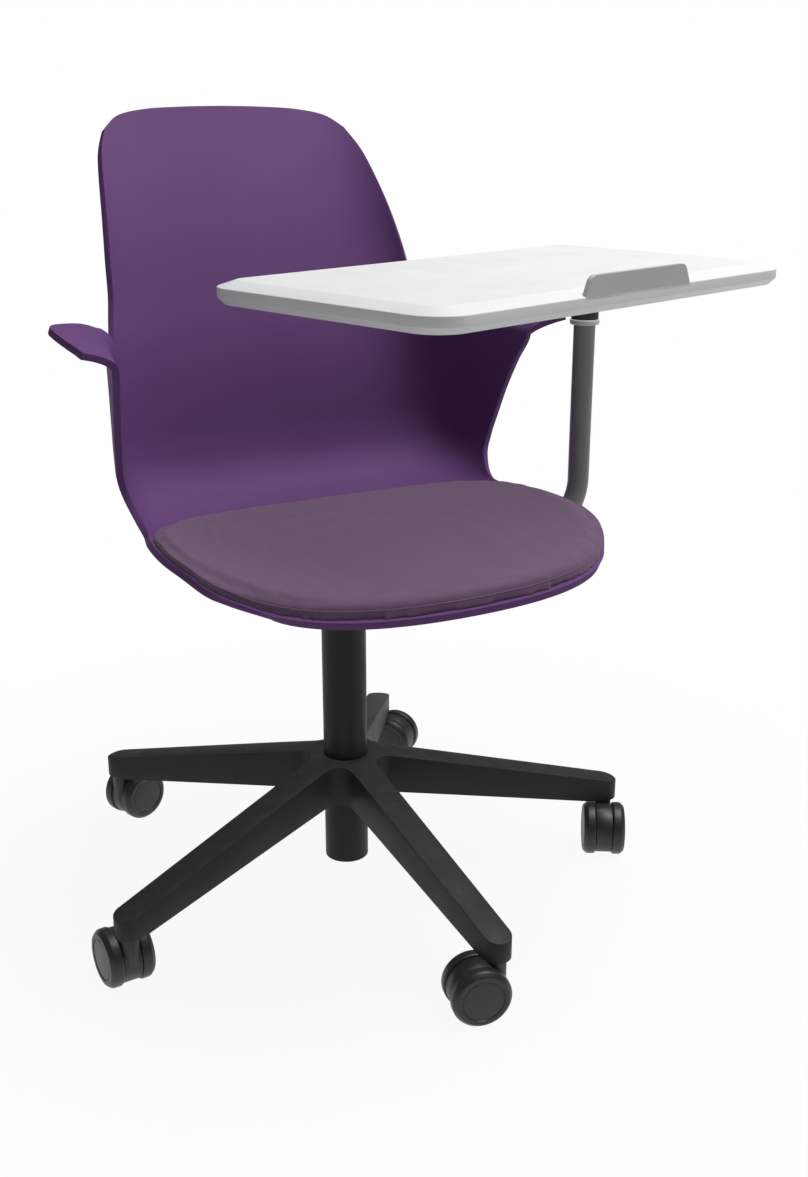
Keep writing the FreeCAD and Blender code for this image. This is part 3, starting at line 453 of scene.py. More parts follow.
# %% [markdown]
# ## The shell's face
# The shell is one sheet of plastic that bends from seat to back and wraps round at
# the sides. A smooth curve through the rows of a table, and a Bezier curve across,
# give a place for any pair of numbers: u across from -1 to 1, s from the front
# edge at 0 to the top at 1. Each row of the table has eight shares: how far the
# spine stands to the front and how high, the edge's half width, how far it stands
# to the front and how high, how far out the curve's two inner control points lie,
# and how much of the way to the edge the second of them goes forward and up.

# %% The sitter's side of the shell as a function

seat_half_width = 231.0 * mm
seat_reach = 289.0 * mm
shell_datum = 428.0 * mm
shell_rise = 434.0 * mm
shell_wall = 7.0 * mm
shell_shares = np.array([
    (0.980, -0.016, 0.823, 0.765, 0.004, 0.50, 0.82, 0.30),
    (0.838, -0.007, 0.948, 0.610, 0.030, 0.55, 0.84, 0.22),
    (0.638, -0.002, 0.985, 0.440, 0.046, 0.58, 0.85, 0.14),
    (0.400, 0.000, 0.990, 0.260, 0.046, 0.60, 0.86, 0.08),
    (0.160, 0.000, 0.968, 0.075, 0.045, 0.62, 0.88, 0.05),
    (-0.090, 0.002, 0.925, -0.065, 0.044, 0.66, 0.90, 0.02),
    (-0.290, 0.014, 0.918, -0.150, 0.060, 0.70, 0.91, 0.00),
    (-0.425, 0.044, 0.940, -0.208, 0.106, 0.74, 0.91, -0.02),
    (-0.510, 0.097, 0.962, -0.210, 0.152, 0.77, 0.90, -0.04),
    (-0.554, 0.166, 0.974, -0.182, 0.205, 0.79, 0.89, -0.06),
    (-0.586, 0.258, 0.989, -0.134, 0.286, 0.79, 0.87, -0.07),
    (-0.620, 0.350, 1.006, -0.076, 0.364, 0.78, 0.85, -0.07),
    (-0.660, 0.438, 1.026, -0.017, 0.439, 0.77, 0.83, -0.07),
    (-0.709, 0.520, 1.040, -0.073, 0.515, 0.76, 0.82, -0.06),
    (-0.773, 0.620, 1.015, -0.208, 0.615, 0.74, 0.81, -0.05),
    (-0.846, 0.725, 0.955, -0.427, 0.720, 0.72, 0.81, -0.02),
    (-0.926, 0.825, 0.885, -0.657, 0.820, 0.70, 0.81, 0.00),
    (-1.006, 0.915, 0.825, -0.847, 0.912, 0.68, 0.81, 0.02),
    (-1.081, 1.000, 0.785, -0.987, 1.000, 0.66, 0.81, 0.04),
])


def along_rows(table, place):
    """A smooth curve through evenly spaced rows, at places from 0 to 1."""
    last = len(table) - 1
    index = np.clip((place * last).astype(int), 0, last - 1)
    t = (place * last - index)[..., None]
    before = table[np.maximum(index - 1, 0)]
    first = table[index]
    second = table[index + 1]
    after = table[np.minimum(index + 2, last)]
    square = t * t
    cube = square * t
    return (first * (2 * cube - 3 * square + 1) + (second - before) / 2 * (cube - 2 * square + t)
            + second * (3 * square - 2 * cube) + (after - first) / 2 * (cube - square))


def shell_face(u, s):
    """The sitter's face: a cubic Bezier from the spine to the edge, on each section."""
    u, s = np.broadcast_arrays(np.asarray(u, float), np.asarray(s, float))
    share = np.moveaxis(along_rows(shell_shares, s), -1, 0)
    spine_front, spine_z, edge_x, edge_front, edge_z, flat, corner, dip = share
    a = np.abs(u)
    rest = 1 - a
    near = 3 * rest * rest * a
    far = 3 * rest * a * a
    end = a ** 3
    x = np.sign(u) * edge_x * (near * flat + far * corner + end)
    mix = far * dip + end
    front = spine_front + (edge_front - spine_front) * mix
    z = spine_z + (edge_z - spine_z) * mix
    return np.stack([x * seat_half_width, -front * seat_reach, shell_datum + z * shell_rise], -1)


print("seat top at the spine:", shell_face(0.0, 0.3).round(3))

# %% [markdown]
# Up to the notch, the seat and its walls are a plain grid of places on the sheet.
# Above the winglets the back is narrower than the sheet, so it is cut to an outline
# seen from the front. A flat patch is stretched inside that outline, and each of its
# places is then looked up on the sheet: a few rounds of Newton's method find the u
# and s that have the wanted x and z, for all places at once.

# %% Seat, walls and back

notch_row_share = 12 / 18
notch_column_share = 0.66
outline_shares = np.array([
    (0.844, 0.470), (0.799, 0.545), (0.779, 0.635), (0.752, 0.737), (0.721, 0.834),
    (0.692, 0.894), (0.645, 0.944), (0.560, 0.976), (0.410, 0.992), (0.210, 0.998),
    (0.000, 1.000)])
side_rows = 6


def find_on_shell(x, z, u, s, rounds=12, step=1e-4):
    """The u and s whose place has the wanted x and z, by Newton's method on arrays."""
    for _ in range(rounds):
        here = shell_face(u, s)
        by_u = (shell_face(u + step, s) - here) / step
        upper = np.minimum(s + step, 1)
        by_s = (shell_face(u, upper) - shell_face(u, upper - step)) / step
        miss_x = here[..., 0] - x
        miss_z = here[..., 2] - z
        whole = by_u[..., 0] * by_s[..., 2] - by_u[..., 2] * by_s[..., 0]
        u = u - (miss_x * by_s[..., 2] - miss_z * by_s[..., 0]) / whole
        s = s - (miss_z * by_u[..., 0] - miss_x * by_u[..., 2]) / whole
        u = np.clip(u, -1, 1)
        s = np.clip(s, 0.5, 1)
    return u, s


columns_back = 49
columns_wing = 15
rows_seat = 76
rows_back = 44
u_back = np.linspace(-notch_column_share, notch_column_share, columns_back)
u_wing = np.linspace(notch_column_share, 1, columns_wing)
u_all = np.concatenate([-u_wing[::-1], u_back[1:-1], u_wing])
s_seat = np.linspace(0, notch_row_share, rows_seat)
seat_points = shell_face(u_all[None], s_seat[:, None])

notch = shell_face(u_back, np.full(columns_back, notch_row_share))
side_curve = along_rows(outline_shares[:side_rows + 1], np.linspace(0, 1, rows_back))
side_x = side_curve[:, 0] * seat_half_width
side_z = shell_datum + side_curve[:, 1] * shell_rise
half_columns = columns_back // 2 + 1
top_curve = along_rows(outline_shares[side_rows:], np.linspace(0, 1, half_columns))
top_x = np.concatenate([-top_curve[:, 0], top_curve[::-1, 0][1:]]) * seat_half_width
top_z = shell_datum + np.concatenate([top_curve[:, 1], top_curve[::-1, 1][1:]]) * shell_rise
root_gap = notch[-1, [0, 2]] - [side_x[0], side_z[0]]
root_fade = 12
fade = np.exp(-np.linspace(0, root_fade, rows_back))
side_x = side_x + root_gap[0] * fade
side_z = side_z + root_gap[1] * fade
up_share = np.linspace(0, 1, rows_back)[:, None]
right_share = np.linspace(0, 1, columns_back)[None]


def patch(bottom, top, left, right):
    """A Coons patch: sides and ends blended, less the corners that were counted twice."""
    down_share = 1 - up_share
    left_share = 1 - right_share
    corners = (down_share * (left_share * bottom[0] + right_share * bottom[-1])
               + up_share * (left_share * top[0] + right_share * top[-1]))
    return (down_share * bottom[None] + up_share * top[None] + left_share * left[:, None]
            + right_share * right[:, None] - corners)


back_x = patch(notch[:, 0], top_x, -side_x, side_x)
back_z = patch(notch[:, 2], top_z, side_z, side_z)
guess_s = notch_row_share + (1 - notch_row_share) * (back_z - notch[0, 2]) / (
    shell_datum + shell_rise - notch[0, 2])
guess_u = back_x / seat_half_width * 0.75
back_u, back_s = find_on_shell(back_x, back_z, guess_u, guess_s)
back_points = shell_face(back_u, back_s)
miss = np.abs(back_points[..., [0, 2]] - np.stack([back_x, back_z], -1)).max()
print("back patch misses its outline by", round(float(miss) * 1000, 3), "mm at most")

# %% [markdown]
# A winglet stands on the top edge of the wall on each side of the back. It leaves
# the wall along it and curls outwards, so it is a sheet of Bezier curves, one for
# each place along its root. A small table says how far out, how far forward and
# how high the tips reach.

# %% Winglets

wing_reach = 65.0 * mm
wing_length = 153.0 * mm
wing_rise = 43.0 * mm
wing_lift = 13.0 * mm
wing_tip_shares = np.array([
    (0.60, 0.120, 0.51), (0.85, 0.130, 0.66), (1.03, 0.140, 0.78),
    (0.89, 0.150, 0.69), (0.55, 0.130, 0.51), (0.26, 0.060, 0.20)])
wing_bend_out = 0.38
wing_bend_forward = 0.5
wing_bend_up = 0.72
wing_climb_share = 0.34
wing_root_step = 0.01
rows_wing = 20


def winglet(side):
    """One winglet: Bezier curves that leave the wall along it, and curl out to the tips."""
    u = side * u_wing
    root = shell_face(u, np.full(columns_wing, notch_row_share))
    climb = root - shell_face(u, np.full(columns_wing, notch_row_share - wing_root_step))
    climb /= np.linalg.norm(climb, axis=-1, keepdims=True)
    back = np.linspace(1, 0, columns_wing)
    tip = along_rows(wing_tip_shares, back)
    reach = tip[:, 0] * wing_reach
    forward = tip[:, 1] * wing_length
    height = tip[:, 2] * wing_rise + back * wing_lift
    step = np.stack([side * reach, -forward, height], -1)
    bent = np.stack([side * reach * wing_bend_out, -forward * wing_bend_forward,
                     height * wing_bend_up], -1)
    start = root + climb * height[:, None] * wing_climb_share
    out = np.linspace(0, 1, rows_wing)[:, None, None]
    rest = 1 - out
    return (rest ** 3 * root + 3 * rest ** 2 * out * start
            + 3 * rest * out ** 2 * (root + bent) + out ** 3 * (root + step))


def shell_skin():
    """The four sheets as one mesh: they share the notch row, so merging joins them."""
    parts = [seat_points, back_points, winglet(-1), winglet(1)]
    points = []
    faces = []
    count = 0
    for sheet in parts:
        faces.append(grid_faces(*sheet.shape[:2], first=count))
        points.append(sheet.reshape(-1, 3))
        count += sheet.shape[0] * sheet.shape[1]
    return np.concatenate(points), np.concatenate(faces)


skin_points, skin_faces = shell_skin()
shell = piece("seat_shell_skin", skin_points, skin_faces, "seat_shell")
print("shell skin:", len(shell.data.vertices), "vertices")

# %% [markdown]
# Solidify gives the sheet its 7 mm wall, away from the sitter, and Bevel rounds the
# rim all the way round, because a moulded edge is never sharp.

# %% Thickness and rim

seat_band = 20.0 * mm
rim_ease = 2.4 * mm
rim_angle = math.radians(50)


def towards_sitter(item):
    """Turn the faces so that the seat's look up, whichever way the mesh came out."""
    mesh = item.data
    normals = np.zeros(len(mesh.polygons) * 3, np.float32)
    centres = np.zeros(len(mesh.polygons) * 3, np.float32)
    mesh.polygons.foreach_get("normal", normals)
    mesh.polygons.foreach_get("center", centres)
    low = centres.reshape(-1, 3)[:, 2] < shell_datum + seat_band
    if normals.reshape(-1, 3)[low, 2].mean() < 0:
        mesh.flip_normals()


towards_sitter(shell)
wall = shell.modifiers.new("wall", "SOLIDIFY")
wall.thickness = shell_wall
wall.offset = -1
wall.use_even_offset = True
wall.use_quality_normals = True
rim = shell.modifiers.new("rim", "BEVEL")
rim.width = rim_ease
rim.segments = 3
rim.limit_method = "ANGLE"
rim.angle_limit = rim_angle
rim.harden_normals = False
apply_modifiers(shell)
shell.data.shade_smooth()
shell.data.set_sharp_from_angle(angle=rim_angle)
wear(shell, "shell_plastic")
print("shell with its wall:", len(shell.data.polygons), "faces")

# %% [markdown]
# Four round bosses stand under the seat, where the bolts of the plate go in. Each is
# turned, flares a little into the shell, and ends inside its wall.

# %% Bosses under the seat

seat_middle_share = 0.15
seat_end_share = 0.4


def over_shell(points, rounds=14, step=1e-4):
    """How high each place lies over the shell's face, by Newton's method on x and y."""
    x = points[:, 0]
    y = points[:, 1]
    u = x / seat_half_width
    s = np.full(len(points), seat_middle_share)
    for _ in range(rounds):
        here = shell_face(u, s)
        by_u = (shell_face(u + step, s) - here) / step
        by_s = (shell_face(u, s + step) - here) / step
        miss_x = here[:, 0] - x
        miss_y = here[:, 1] - y
        whole = by_u[:, 0] * by_s[:, 1] - by_u[:, 1] * by_s[:, 0]
        u = np.clip(u - (miss_x * by_s[:, 1] - miss_y * by_s[:, 0]) / whole, -1, 1)
        s = np.clip(s - (miss_y * by_u[:, 0] - miss_x * by_u[:, 1]) / whole, 0, seat_end_share)
    return points[:, 2] - shell_face(u, s)[:, 2]


boss_foot = 402.0 * mm
boss_radius = 12.0 * mm
boss_foot_ease = 0.6 * mm
boss_flare = 4.0 * mm
boss_flare_height = 9.0 * mm
boss_flare_radius = 8.0 * mm
boss_roof_depth = 3.0 * mm
boss_places = np.array([(-76.0, -102.0, 0.0), (76.0, -102.0, 0.0),
                        (-76.0, 48.0, 0.0), (76.0, 48.0, 0.0)]) * mm
boss_roofs = -over_shell(boss_places) - boss_roof_depth
for number, (boss_x, boss_y, _) in enumerate(boss_places, 1):
    roof = boss_roofs[number - 1]
    boss_profile = rounded_path(
        [(0.0, boss_foot), (boss_radius, boss_foot), (boss_radius, roof - boss_flare_height),
         (boss_radius + boss_flare, roof), (0.0, roof)],
        [0, boss_foot_ease, boss_flare_radius, 0, 0], 5, closed=False)
    boss_points, boss_faces = turned(boss_profile, (boss_x, boss_y, 0), (0, 0, 1), 40)
    boss = piece("shell_boss_%d" % number, boss_points, boss_faces, "seat_shell", replaces=False)
    wear(boss, "shell_plastic")
print("bosses rise", (boss_roofs - boss_foot).round(4) * 1000, "mm")

# %% [markdown]
# ## The pad
# The pad is foam under cloth. It starts as a thin closed form on the shell's face,
# is remeshed into even squares, and a short cloth simulation with air pressure
# inside swells it, so that its edge rounds over as foam does.

# %% Starting form of the pad

cushion_side_share = 0.998
cushion_front_share = 0.005
cushion_rear_share = 0.315
cushion_corner_share = 0.055
pad_thickness = 12.5 * mm
pad_sink = 1.5 * mm
pad_edge_height = 8.0 * mm
pad_edge_inset = 0.045
pad_hollow = 5.0 * mm
pad_columns = 81
pad_rows = 61


def pad_point(across, along, height):
    """A place over the shell's face: across -1 to 1, along 0 to 1, at a height over it."""
    pull = np.maximum(0, along - 0.5) / 0.5
    corner = cushion_corner_share * np.abs(across) ** 4 * pull ** 2
    s = cushion_front_share + (cushion_rear_share - corner - cushion_front_share) * along
    u = across * cushion_side_share * (1 - 1.4 * corner)
    return shell_face(u, s) + np.asarray(height)[..., None] * [0.0, 0.0, 1.0]


def pad_form():
    """Two grids: the top falls along a soft bevel to the side, and dips in the middle."""
    across = np.sin(np.linspace(-math.pi / 2, math.pi / 2, pad_columns))[None]
    along = 0.5 - 0.5 * np.cos(np.linspace(0, math.pi, pad_rows))[:, None]
    across, along = np.broadcast_arrays(across, along)
    inside = np.minimum(1 - np.abs(across), 2 * np.minimum(along, 1 - along))
    bevel = np.minimum(inside / pad_edge_inset, 1)
    hollow = pad_hollow * (1 - across ** 2) ** 1.5 * np.sin(along * math.pi) ** 1.5
    top = pad_edge_height + (pad_thickness - pad_edge_height) * bevel * (1.6 - 0.6 * bevel) - hollow
    bottom = np.full_like(top, -pad_sink)
    return pad_point(across, along, top), pad_point(across, along, bottom)


def border_of(rows, columns):
    """The places round the edge of a grid, in order."""
    index = np.arange(rows * columns).reshape(rows, columns)
    return np.concatenate([index[0], index[1:, -1], index[-1, -2::-1], index[-2:0:-1, 0]])


pad_top, pad_bottom = pad_form()
pad_count = pad_rows * pad_columns
pad_border = border_of(pad_rows, pad_columns)
pad_next = np.roll(pad_border, -1)
pad_side = np.stack([pad_border, pad_next, pad_next + pad_count, pad_border + pad_count], 1)
pad_faces = np.concatenate([grid_faces(pad_rows, pad_columns),
                            grid_faces(pad_rows, pad_columns, first=pad_count), pad_side])
pad_points = np.concatenate([pad_top.reshape(-1, 3), pad_bottom.reshape(-1, 3)])
pad = piece("seat_cushion_pad", pad_points, pad_faces, "seat_cushion", sharp=180.0)
wear(pad, "cushion_fabric")
print("pad starts with", len(pad.data.vertices), "vertices")

# %% [markdown]
# Cloth needs even faces, so the form is voxel remeshed first. After twenty frames
# each place may have moved by the cap at most, and nothing moves where the pad lies
# on the shell.

# %% Swell the pad

swell_cap = 4.0 * mm
free_height = 5.0 * mm


def swell(item, voxel=3.6 * mm, frames=20, pressure=4.0):
    """Remesh, fill with pressure, cap the movement, and give the start and the move."""
    remesh = item.modifiers.new("even", "REMESH")
    remesh.mode = "VOXEL"
    remesh.voxel_size = voxel
    apply_modifiers(item)
    start = places_of(item.data)
    cloth_sim = item.modifiers.new("swell", "CLOTH")
    cloth_sim.settings.quality = 5
    cloth_sim.settings.use_pressure = True
    cloth_sim.settings.uniform_pressure_force = pressure
    cloth_sim.settings.effector_weights.gravity = 0.0
    cloth_sim.collision_settings.use_collision = False
    cloth_sim.point_cache.frame_start = 1
    cloth_sim.point_cache.frame_end = frames
    for number in range(1, frames + 1):
        bpy.context.scene.frame_set(number)
    graph = bpy.context.evaluated_depsgraph_get()
    end = places_of(item.evaluated_get(graph).to_mesh())
    item.evaluated_get(graph).to_mesh_clear()
    item.modifiers.clear()
    move = end - start
    length = np.linalg.norm(move, axis=1, keepdims=True)
    return start, move * np.minimum(1, swell_cap / np.maximum(length, 1e-9))


def places_of(mesh):
    """A mesh's places as an array."""
    places = np.zeros(len(mesh.vertices) * 3, np.float32)
    mesh.vertices.foreach_get("co", places)
    return places.reshape(-1, 3).astype(float)


rest_points, pad_move = swell(pad)
pad_height = over_shell(rest_points)
free = np.clip((pad_height + pad_sink * 0.5) / free_height, 0, 1)[:, None]
pad.data.vertices.foreach_set("co", (rest_points + pad_move * free).astype(np.float32).ravel())
pad.data.update()
smooth = pad.modifiers.new("smooth", "SMOOTH")
smooth.factor = 0.5
smooth.iterations = 6
finer = pad.modifiers.new("finer", "SUBSURF")
finer.levels = 1
finer.render_levels = 1
apply_modifiers(pad)
pad.data.shade_smooth()
wear(pad, "cushion_fabric")
mean_move = float(np.linalg.norm(pad_move, axis=1).mean())
print("pad swelled by", round(mean_move * 1000, 2), "mm on average")

# %% [markdown]
# A thin welt runs round the pad where its top meets its side. The path starts on the
# border of the first form, a Shrinkwrap modifier lays it on the swollen pad, and a
# running mean takes out the steps of the mesh below it.

# %% Welt

welt_radius = 0.9 * mm
welt_lift = 1.5 * mm
welt_least_step = 0.5 * mm
welt_path = bpy.data.meshes.new("pad_welt_path")
welt_start = pad_top.reshape(-1, 3)[pad_border] + [0.0, 0.0, welt_lift]
welt_path.from_pydata(welt_start.tolist(), [], [])
welt_line = bpy.data.objects.new("pad_welt_path", welt_path)
bpy.context.scene.collection.objects.link(welt_line)
lay = welt_line.modifiers.new("lay", "SHRINKWRAP")
lay.target = pad
lay.wrap_method = "NEAREST_SURFACEPOINT"
apply_modifiers(welt_line)
welt_places = places_of(welt_line.data)
bpy.data.objects.remove(welt_line)
welt_steps = np.linalg.norm(np.roll(welt_places, -1, 0) - welt_places, axis=1)
welt_places = welt_places[welt_steps > welt_least_step]
for _ in range(3):
    before = np.roll(welt_places, 1, 0)
    after = np.roll(welt_places, -1, 0)
    welt_places = (before + 2 * welt_places + after) / 4
welt_points, welt_faces = tube(welt_places, welt_radius, 10, closed=True, across=(0, 0, 1))
welt = piece("pad_welt", welt_points, welt_faces, "seat_cushion", sharp=180.0, replaces=False)
wear(welt, "cushion_fabric")
welt_steps = np.linalg.norm(np.diff(welt_places, axis=0), axis=1)
print("welt is", round(float(welt_steps.sum()), 3), "m long")

# %% [markdown]
# ## The tablet
# The board is a rounded rectangle carried up through a lower bevel, an upright band
# and a wide upper bevel. The edges between them are eased by a millimetre or two, as
# a machined board's are, so that they catch a thin line of light.

# %% Board

tablet_turn = math.radians(16.7)
tablet_centre = np.array([184.95, -40.98]) * mm
tablet_half = np.array([286.5, 166.5]) * mm
tablet_corner = 40.0 * mm
board_foot = 673.0
band_foot = 680.0
band_head = 690.0
board_top = 696.5
lower_bevel = 7.0
upper_bevel = 20.0
flat_end = 60.0
top_inset = -24.0 * mm
board_profile = rounded_path(
    [(-lower_bevel, board_foot), (0.0, band_foot), (0.0, band_head), (-upper_bevel, board_top),
     (-flat_end, board_top)],
    [0, 1.2, 1.4, 2.0, 0], steps=5, closed=False) * mm


def on_tablet(along, across, z):
    """A place given along and across the board, in the chair's frame."""
    along, across, z = np.broadcast_arrays(along, across, z)
    x = tablet_centre[0] + along * math.cos(tablet_turn) - across * math.sin(tablet_turn)
    y = tablet_centre[1] + along * math.sin(tablet_turn) + across * math.cos(tablet_turn)
    return np.stack([x, y, z], -1)


def board_outline(inset, z, steps=14):
    """The rounded rectangle at an inset: negative values lie inside."""
    half = tablet_half + inset
    radius = max(tablet_corner + inset, 1 * mm)
    flat = rounded_path([(-half[0], -half[1]), (half[0], -half[1]), (half[0], half[1]),
                         (-half[0], half[1])], [radius] * 4, steps)
    return on_tablet(flat[:, 0], flat[:, 1], z)


board_levels = board_profile[:-1].tolist() + [(top_inset, board_top * mm)]
board_points, board_faces = stacked([board_outline(inset, z) for inset, z in board_levels])
board = piece("tablet_board", board_points, board_faces, "tablet_top", sharp=35.0)
wear(board, "tablet_laminate")

# %% [markdown]
# The lip is a low trapezium with two round corners, eased all round, that stands in
# the board's outer edge.

# %% Lip

lip_foot = 687.0
lip_head = 710.0
lip_depth = 5.5
lip_inset = 1.2
lip_outline = rounded_path(
    [(-87.0, lip_foot), (90.0, lip_foot), (79.5, lip_head), (-76.5, lip_head)],
    [0.8, 0.8, 10.0, 10.0], 8) * mm
lip_middle = lip_outline.mean(0)
lip_ease = rounded_path(
    [(-lip_inset, 0.0), (0.0, 0.0), (0.0, lip_depth), (-lip_inset, lip_depth)],
    [0, 1.1, 1.1, 0], 4, closed=False) * mm
lip_levels = []
for inset, depth in lip_ease:
    out = lip_outline - lip_middle
    shrink = 1 + inset / np.linalg.norm(out, axis=1, keepdims=True)
    flat = lip_middle + out * shrink
    lip_levels.append(on_tablet(flat[:, 0], -tablet_half[1] + depth, flat[:, 1]))
lip = piece("tablet_rail", *stacked(lip_levels), "tablet_lip", sharp=35.0)
wear(lip, "lip_plastic")
print("board and lip made")

# %% [markdown]
# ## Arm, post and collar
# One bent tube leaves the clamp under the seat, turns up beside it and ends in the
# pivot. Its path is two straight runs and an arc.

# %% Arm

post_x = 263.1 * mm
post_y = -69.0 * mm
bend_z = 465.0 * mm
bend_radius = 60.0 * mm
bend_turn = math.radians(75.0)
arm_start_x = 52.0 * mm
arm_head_z = 656.0 * mm
tube_radius = 11.8
arc = np.linspace(bend_turn, 0, 25)
arc_x = post_x - bend_radius + bend_radius * np.cos(arc)
arc_z = bend_z - bend_radius * np.sin(arc)
run = (arc_x[0] - arm_start_x) / math.sin(bend_turn)
start_share = np.linspace(1, 0, 9)[:-1]
run_x = arc_x[0] - math.sin(bend_turn) * run * start_share
run_z = arc_z[0] - math.cos(bend_turn) * run * start_share
rise_z = np.linspace(bend_z, arm_head_z, 12)[1:]
arm_path = np.stack([np.concatenate([run_x, arc_x, np.full(len(rise_z), post_x)]),
                     np.full(len(run_x) + len(arc_x) + len(rise_z), post_y),
                     np.concatenate([run_z, arc_z, rise_z])], -1)
arm_points, arm_faces = tube(arm_path, tube_radius * mm, 40)
arm = piece("tablet_arm_tube", arm_points, arm_faces, "arm_tube", sharp=50.0)
wear(arm, "arm_paint")
print("arm path:", len(arm_path), "places")

# %% [markdown]
# A light ring goes round the upright near its top. It is turned, and its outer
# edges are rounded.

# %% Collar

collar_radius = 16.0
collar_foot = 637.5
collar_head = 643.0
collar_profile = rounded_path(
    [(tube_radius, collar_foot), (collar_radius, collar_foot), (collar_radius, collar_head),
     (tube_radius, collar_head)],
    [0, 1.2, 1.2, 0], 4, closed=False) * mm
collar_points, collar_faces = turned(collar_profile, (post_x, post_y, 0), (0, 0, 1), 56)
collar = piece("post_collar_ring", collar_points, collar_faces, "post_collar", sharp=50.0)
wear(collar, "collar_plastic")
print("collar made")

# %% [markdown]
# ## Star base and other castings
# The base is a casting whose edges are eased. The exact solid has the right outline
# already, so a merged copy of its mesh is used, its flat parts are joined into whole
# faces, and a Bevel modifier eases every sharp edge.

# %% Eased copies of solids

flat_angle = math.radians(0.6)
ease_angle = math.radians(32.0)
corner_distance = 0.02 * mm


def eased(node, width, segments=3):
    """A copy of a solid's mesh with merged corners, joined flats and eased edges."""
    work = bmesh.new()
    work.from_mesh(nodes[node].data)
    bmesh.ops.remove_doubles(work, verts=work.verts, dist=corner_distance)
    bmesh.ops.dissolve_limit(work, angle_limit=flat_angle, verts=work.verts, edges=work.edges)
    mesh = bpy.data.meshes.new(node + "_eased")
    work.to_mesh(mesh)
    work.free()
    mesh.shade_smooth()
    item = bpy.data.objects.new(mesh.name, mesh)
    bpy.context.scene.collection.objects.link(item)
    ease = item.modifiers.new("ease", "BEVEL")
    ease.width = width
    ease.segments = segments
    ease.limit_method = "ANGLE"
    ease.angle_limit = ease_angle
    ease.miter_outer = "MITER_ARC"
    ease.harden_normals = True
    apply_modifiers(item)
    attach(item, node_body[node])
    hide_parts(node)
    wear(item, node_slot[node])
    return item


base_ease = 1.4 * mm
base = eased("base_spider", base_ease)
print("base:", len(base.data.polygons), "faces")

# %% [markdown]
# ## Casters
# A wheel is turned: its tread is nearly flat with generous round edges, and its
# outer face has a fine groove round a plain disc. Each row of the table has a
# radius, a distance out from the wheel's inner face, and how much that corner is
# rounded, in millimetres. The record's joints say where each axle lies.

# %% Wheels

wheel_rows = np.array([
    (4.3, 0.0, 0.0), (30.2, 0.0, 0.8), (31.2, 1.6, 1.5), (31.2, 9.6, 4.4), (27.2, 14.2, 2.6),
    (22.6, 14.2, 0.3), (22.2, 13.2, 0.2), (21.0, 13.2, 0.2), (20.6, 13.8, 0.3),
    (6.0, 14.2, 0.5), (0.0, 14.2, 0.0)])
wheel_profile = rounded_path(wheel_rows[:, :2], wheel_rows[:, 2], 5, closed=False) * mm
wheel_inner = 10.2 * mm
body_ease = 0.8 * mm
for number in range(1, 6):
    for side, sign in (("left", 1), ("right", -1)):
        joint = joints["caster_%d_%s_spin" % (number, side)]
        axis = np.array(joint["axis"]) * sign
        centre = np.array(joint["pos_m"]) + axis * wheel_inner
        node = "caster_%d_wheel_%s" % (number, side)
        wheel_points, wheel_faces = turned(wheel_profile, centre, axis)
        wheel = piece(node + "_turned", wheel_points, wheel_faces, node, sharp=35.0)
        wear(wheel, "wheel_plastic")
    eased("caster_%d_body" % number, body_ease, 2)
print("wheels and caster bodies made")

# %% [markdown]
# ## Studio
# A pale round floor lies under the chair and fades to plain white further out. To
# the camera and in reflections it glows nearly white, whatever light falls on it,
# so the background stays white while the colours keep their level.

# %% Floor

floor_mesh = bpy.data.meshes.new("studio_floor")
floor_radius = 4.0
floor_pinhole = 0.0001
white_from = 0.25
white_full = 0.8
near_white = 0.85
white_gain = 0.15
floor_points, floor_faces = turned([(floor_pinhole, 0.0), (floor_radius, 0.0)], (0, 0, 0),
                                   (0, 0, 1), 96)
floor_mesh.from_pydata(floor_points.reshape(-1, 3).tolist(), [], floor_faces.tolist())
floor = bpy.data.objects.new("studio_floor", floor_mesh)
bpy.context.scene.collection.objects.link(floor)
backdrop = Finish("studio_floor_white", 0.9)
backdrop.shader.inputs["Base Color"].default_value = (0.86, 0.86, 0.86, 1.0)
backdrop.shader.inputs["Specular IOR Level"].default_value = 0.0
glow = backdrop.node("ShaderNodeEmission", {}, {"Color": (1.0, 1.0, 1.0, 1.0), "Strength": 1.0})
seen = backdrop.node("ShaderNodeLightPath", {}, {}, "Is Camera Ray")
glossy = backdrop.node("ShaderNodeLightPath", {}, {}, "Is Glossy Ray")
away = backdrop.node("ShaderNodeVectorMath", {"operation": "LENGTH"}, {0: backdrop.place}, "Value")
white_level = backdrop.ramp(away, white_from, white_full) * white_gain + near_white
white_share = ((seen + glossy) * white_level).clamped()
mixed = backdrop.node("ShaderNodeMixShader", {}, {0: white_share, 2: glow})
backdrop.tree.links.new(backdrop.shader.outputs[0], mixed.socket.node.inputs[1])
backdrop.tree.links.new(mixed.socket, backdrop.tree.nodes["Material Output"].inputs["Surface"])
floor.data.materials.append(backdrop.material)
print("floor made")

# %% [markdown]
# A dim sky lights the chair from all round, and is plain white to the camera. Two
# large lamps hang over it. The key lamp casts no shadow, because the board would
# throw one on the seat and the photograph shows none there. The weaker lamp gives
# the soft shadows.

# %% Sky and lamps

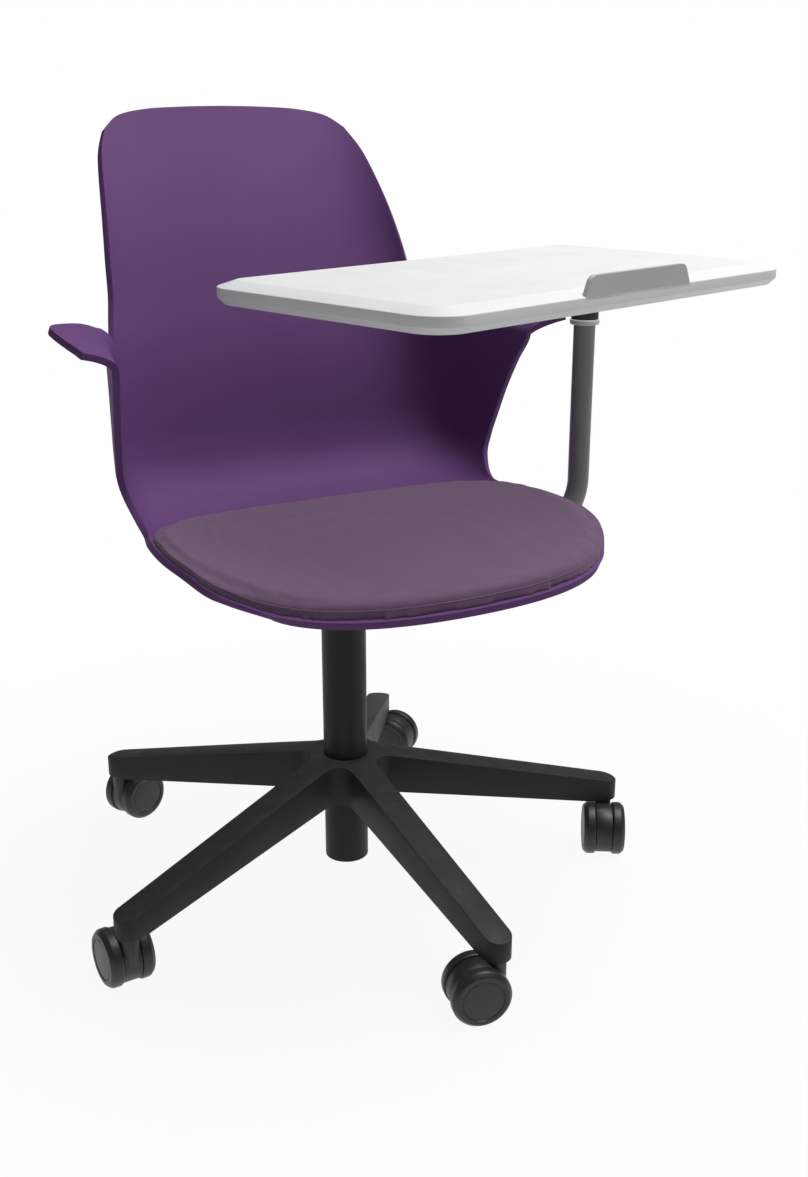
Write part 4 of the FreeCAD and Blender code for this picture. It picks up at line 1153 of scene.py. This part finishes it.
sky_strength = 0.18
world = bpy.data.worlds.new("studio_sky")
bpy.context.scene.world = world
world.use_nodes = True
sky = world.node_tree
background = sky.nodes["Background"]
path_kind = sky.nodes.new("ShaderNodeLightPath")
brightness = sky.nodes.new("ShaderNodeMapRange")
brightness.inputs["To Min"].default_value = sky_strength
brightness.inputs["To Max"].default_value = 1.0
sky.links.new(path_kind.outputs["Is Camera Ray"], brightness.inputs["Value"])
sky.links.new(brightness.outputs["Result"], background.inputs["Strength"])
background.inputs["Color"].default_value = (1.0, 1.0, 1.0, 1.0)


def aimed(place, forward):
    """The matrix of a lamp or camera at a place, looking along a direction, with +Z up."""
    back = -np.array(forward, float) / np.linalg.norm(forward)
    side = np.cross([0.0, 0.0, 1.0], back)
    side /= np.linalg.norm(side)
    turn = np.eye(4)
    turn[:3, :3] = np.stack([side, np.cross(back, side), back], 1)
    turn[:3, 3] = place
    return Matrix(turn.tolist())


def lamp(name, place, target, size, power, shadow=True):
    """A square area lamp that looks at a target, and may cast no shadow."""
    data = bpy.data.lights.new(name, "AREA")
    data.shape = "SQUARE"
    data.size = size
    data.energy = power
    data.use_shadow = shadow
    item = bpy.data.objects.new(name, data)
    bpy.context.scene.collection.objects.link(item)
    item.matrix_world = aimed(place, np.subtract(target, place))


chair_middle = (0, 0, 0.45)
lamp("key_lamp", (1.25, -0.2, 3.3), chair_middle, size=1.2, power=76.0, shadow=False)
lamp("soft_lamp", (1.0, -0.35, 3.3), chair_middle, size=2.4, power=28.0)
print("lamps:", len(bpy.data.lights))

# %% [markdown]
# ## Camera
# The camera's place, aim and lens were worked out from the photograph's perspective.

# %% Camera

camera_place = (-0.6377, -1.3192, 0.8611)
camera_aim = (0.4502, 0.8310, -0.3267)
camera_data = bpy.data.cameras.new("photo_camera")
camera_data.sensor_width = 36.0
camera_data.lens = 42.65
camera = bpy.data.objects.new("photo_camera", camera_data)
bpy.context.scene.collection.objects.link(camera)
bpy.context.scene.camera = camera
camera.matrix_world = aimed(camera_place, camera_aim)
bpy.context.scene.view_settings.view_transform = "Standard"
print("lens:", round(camera_data.lens, 2), "mm")
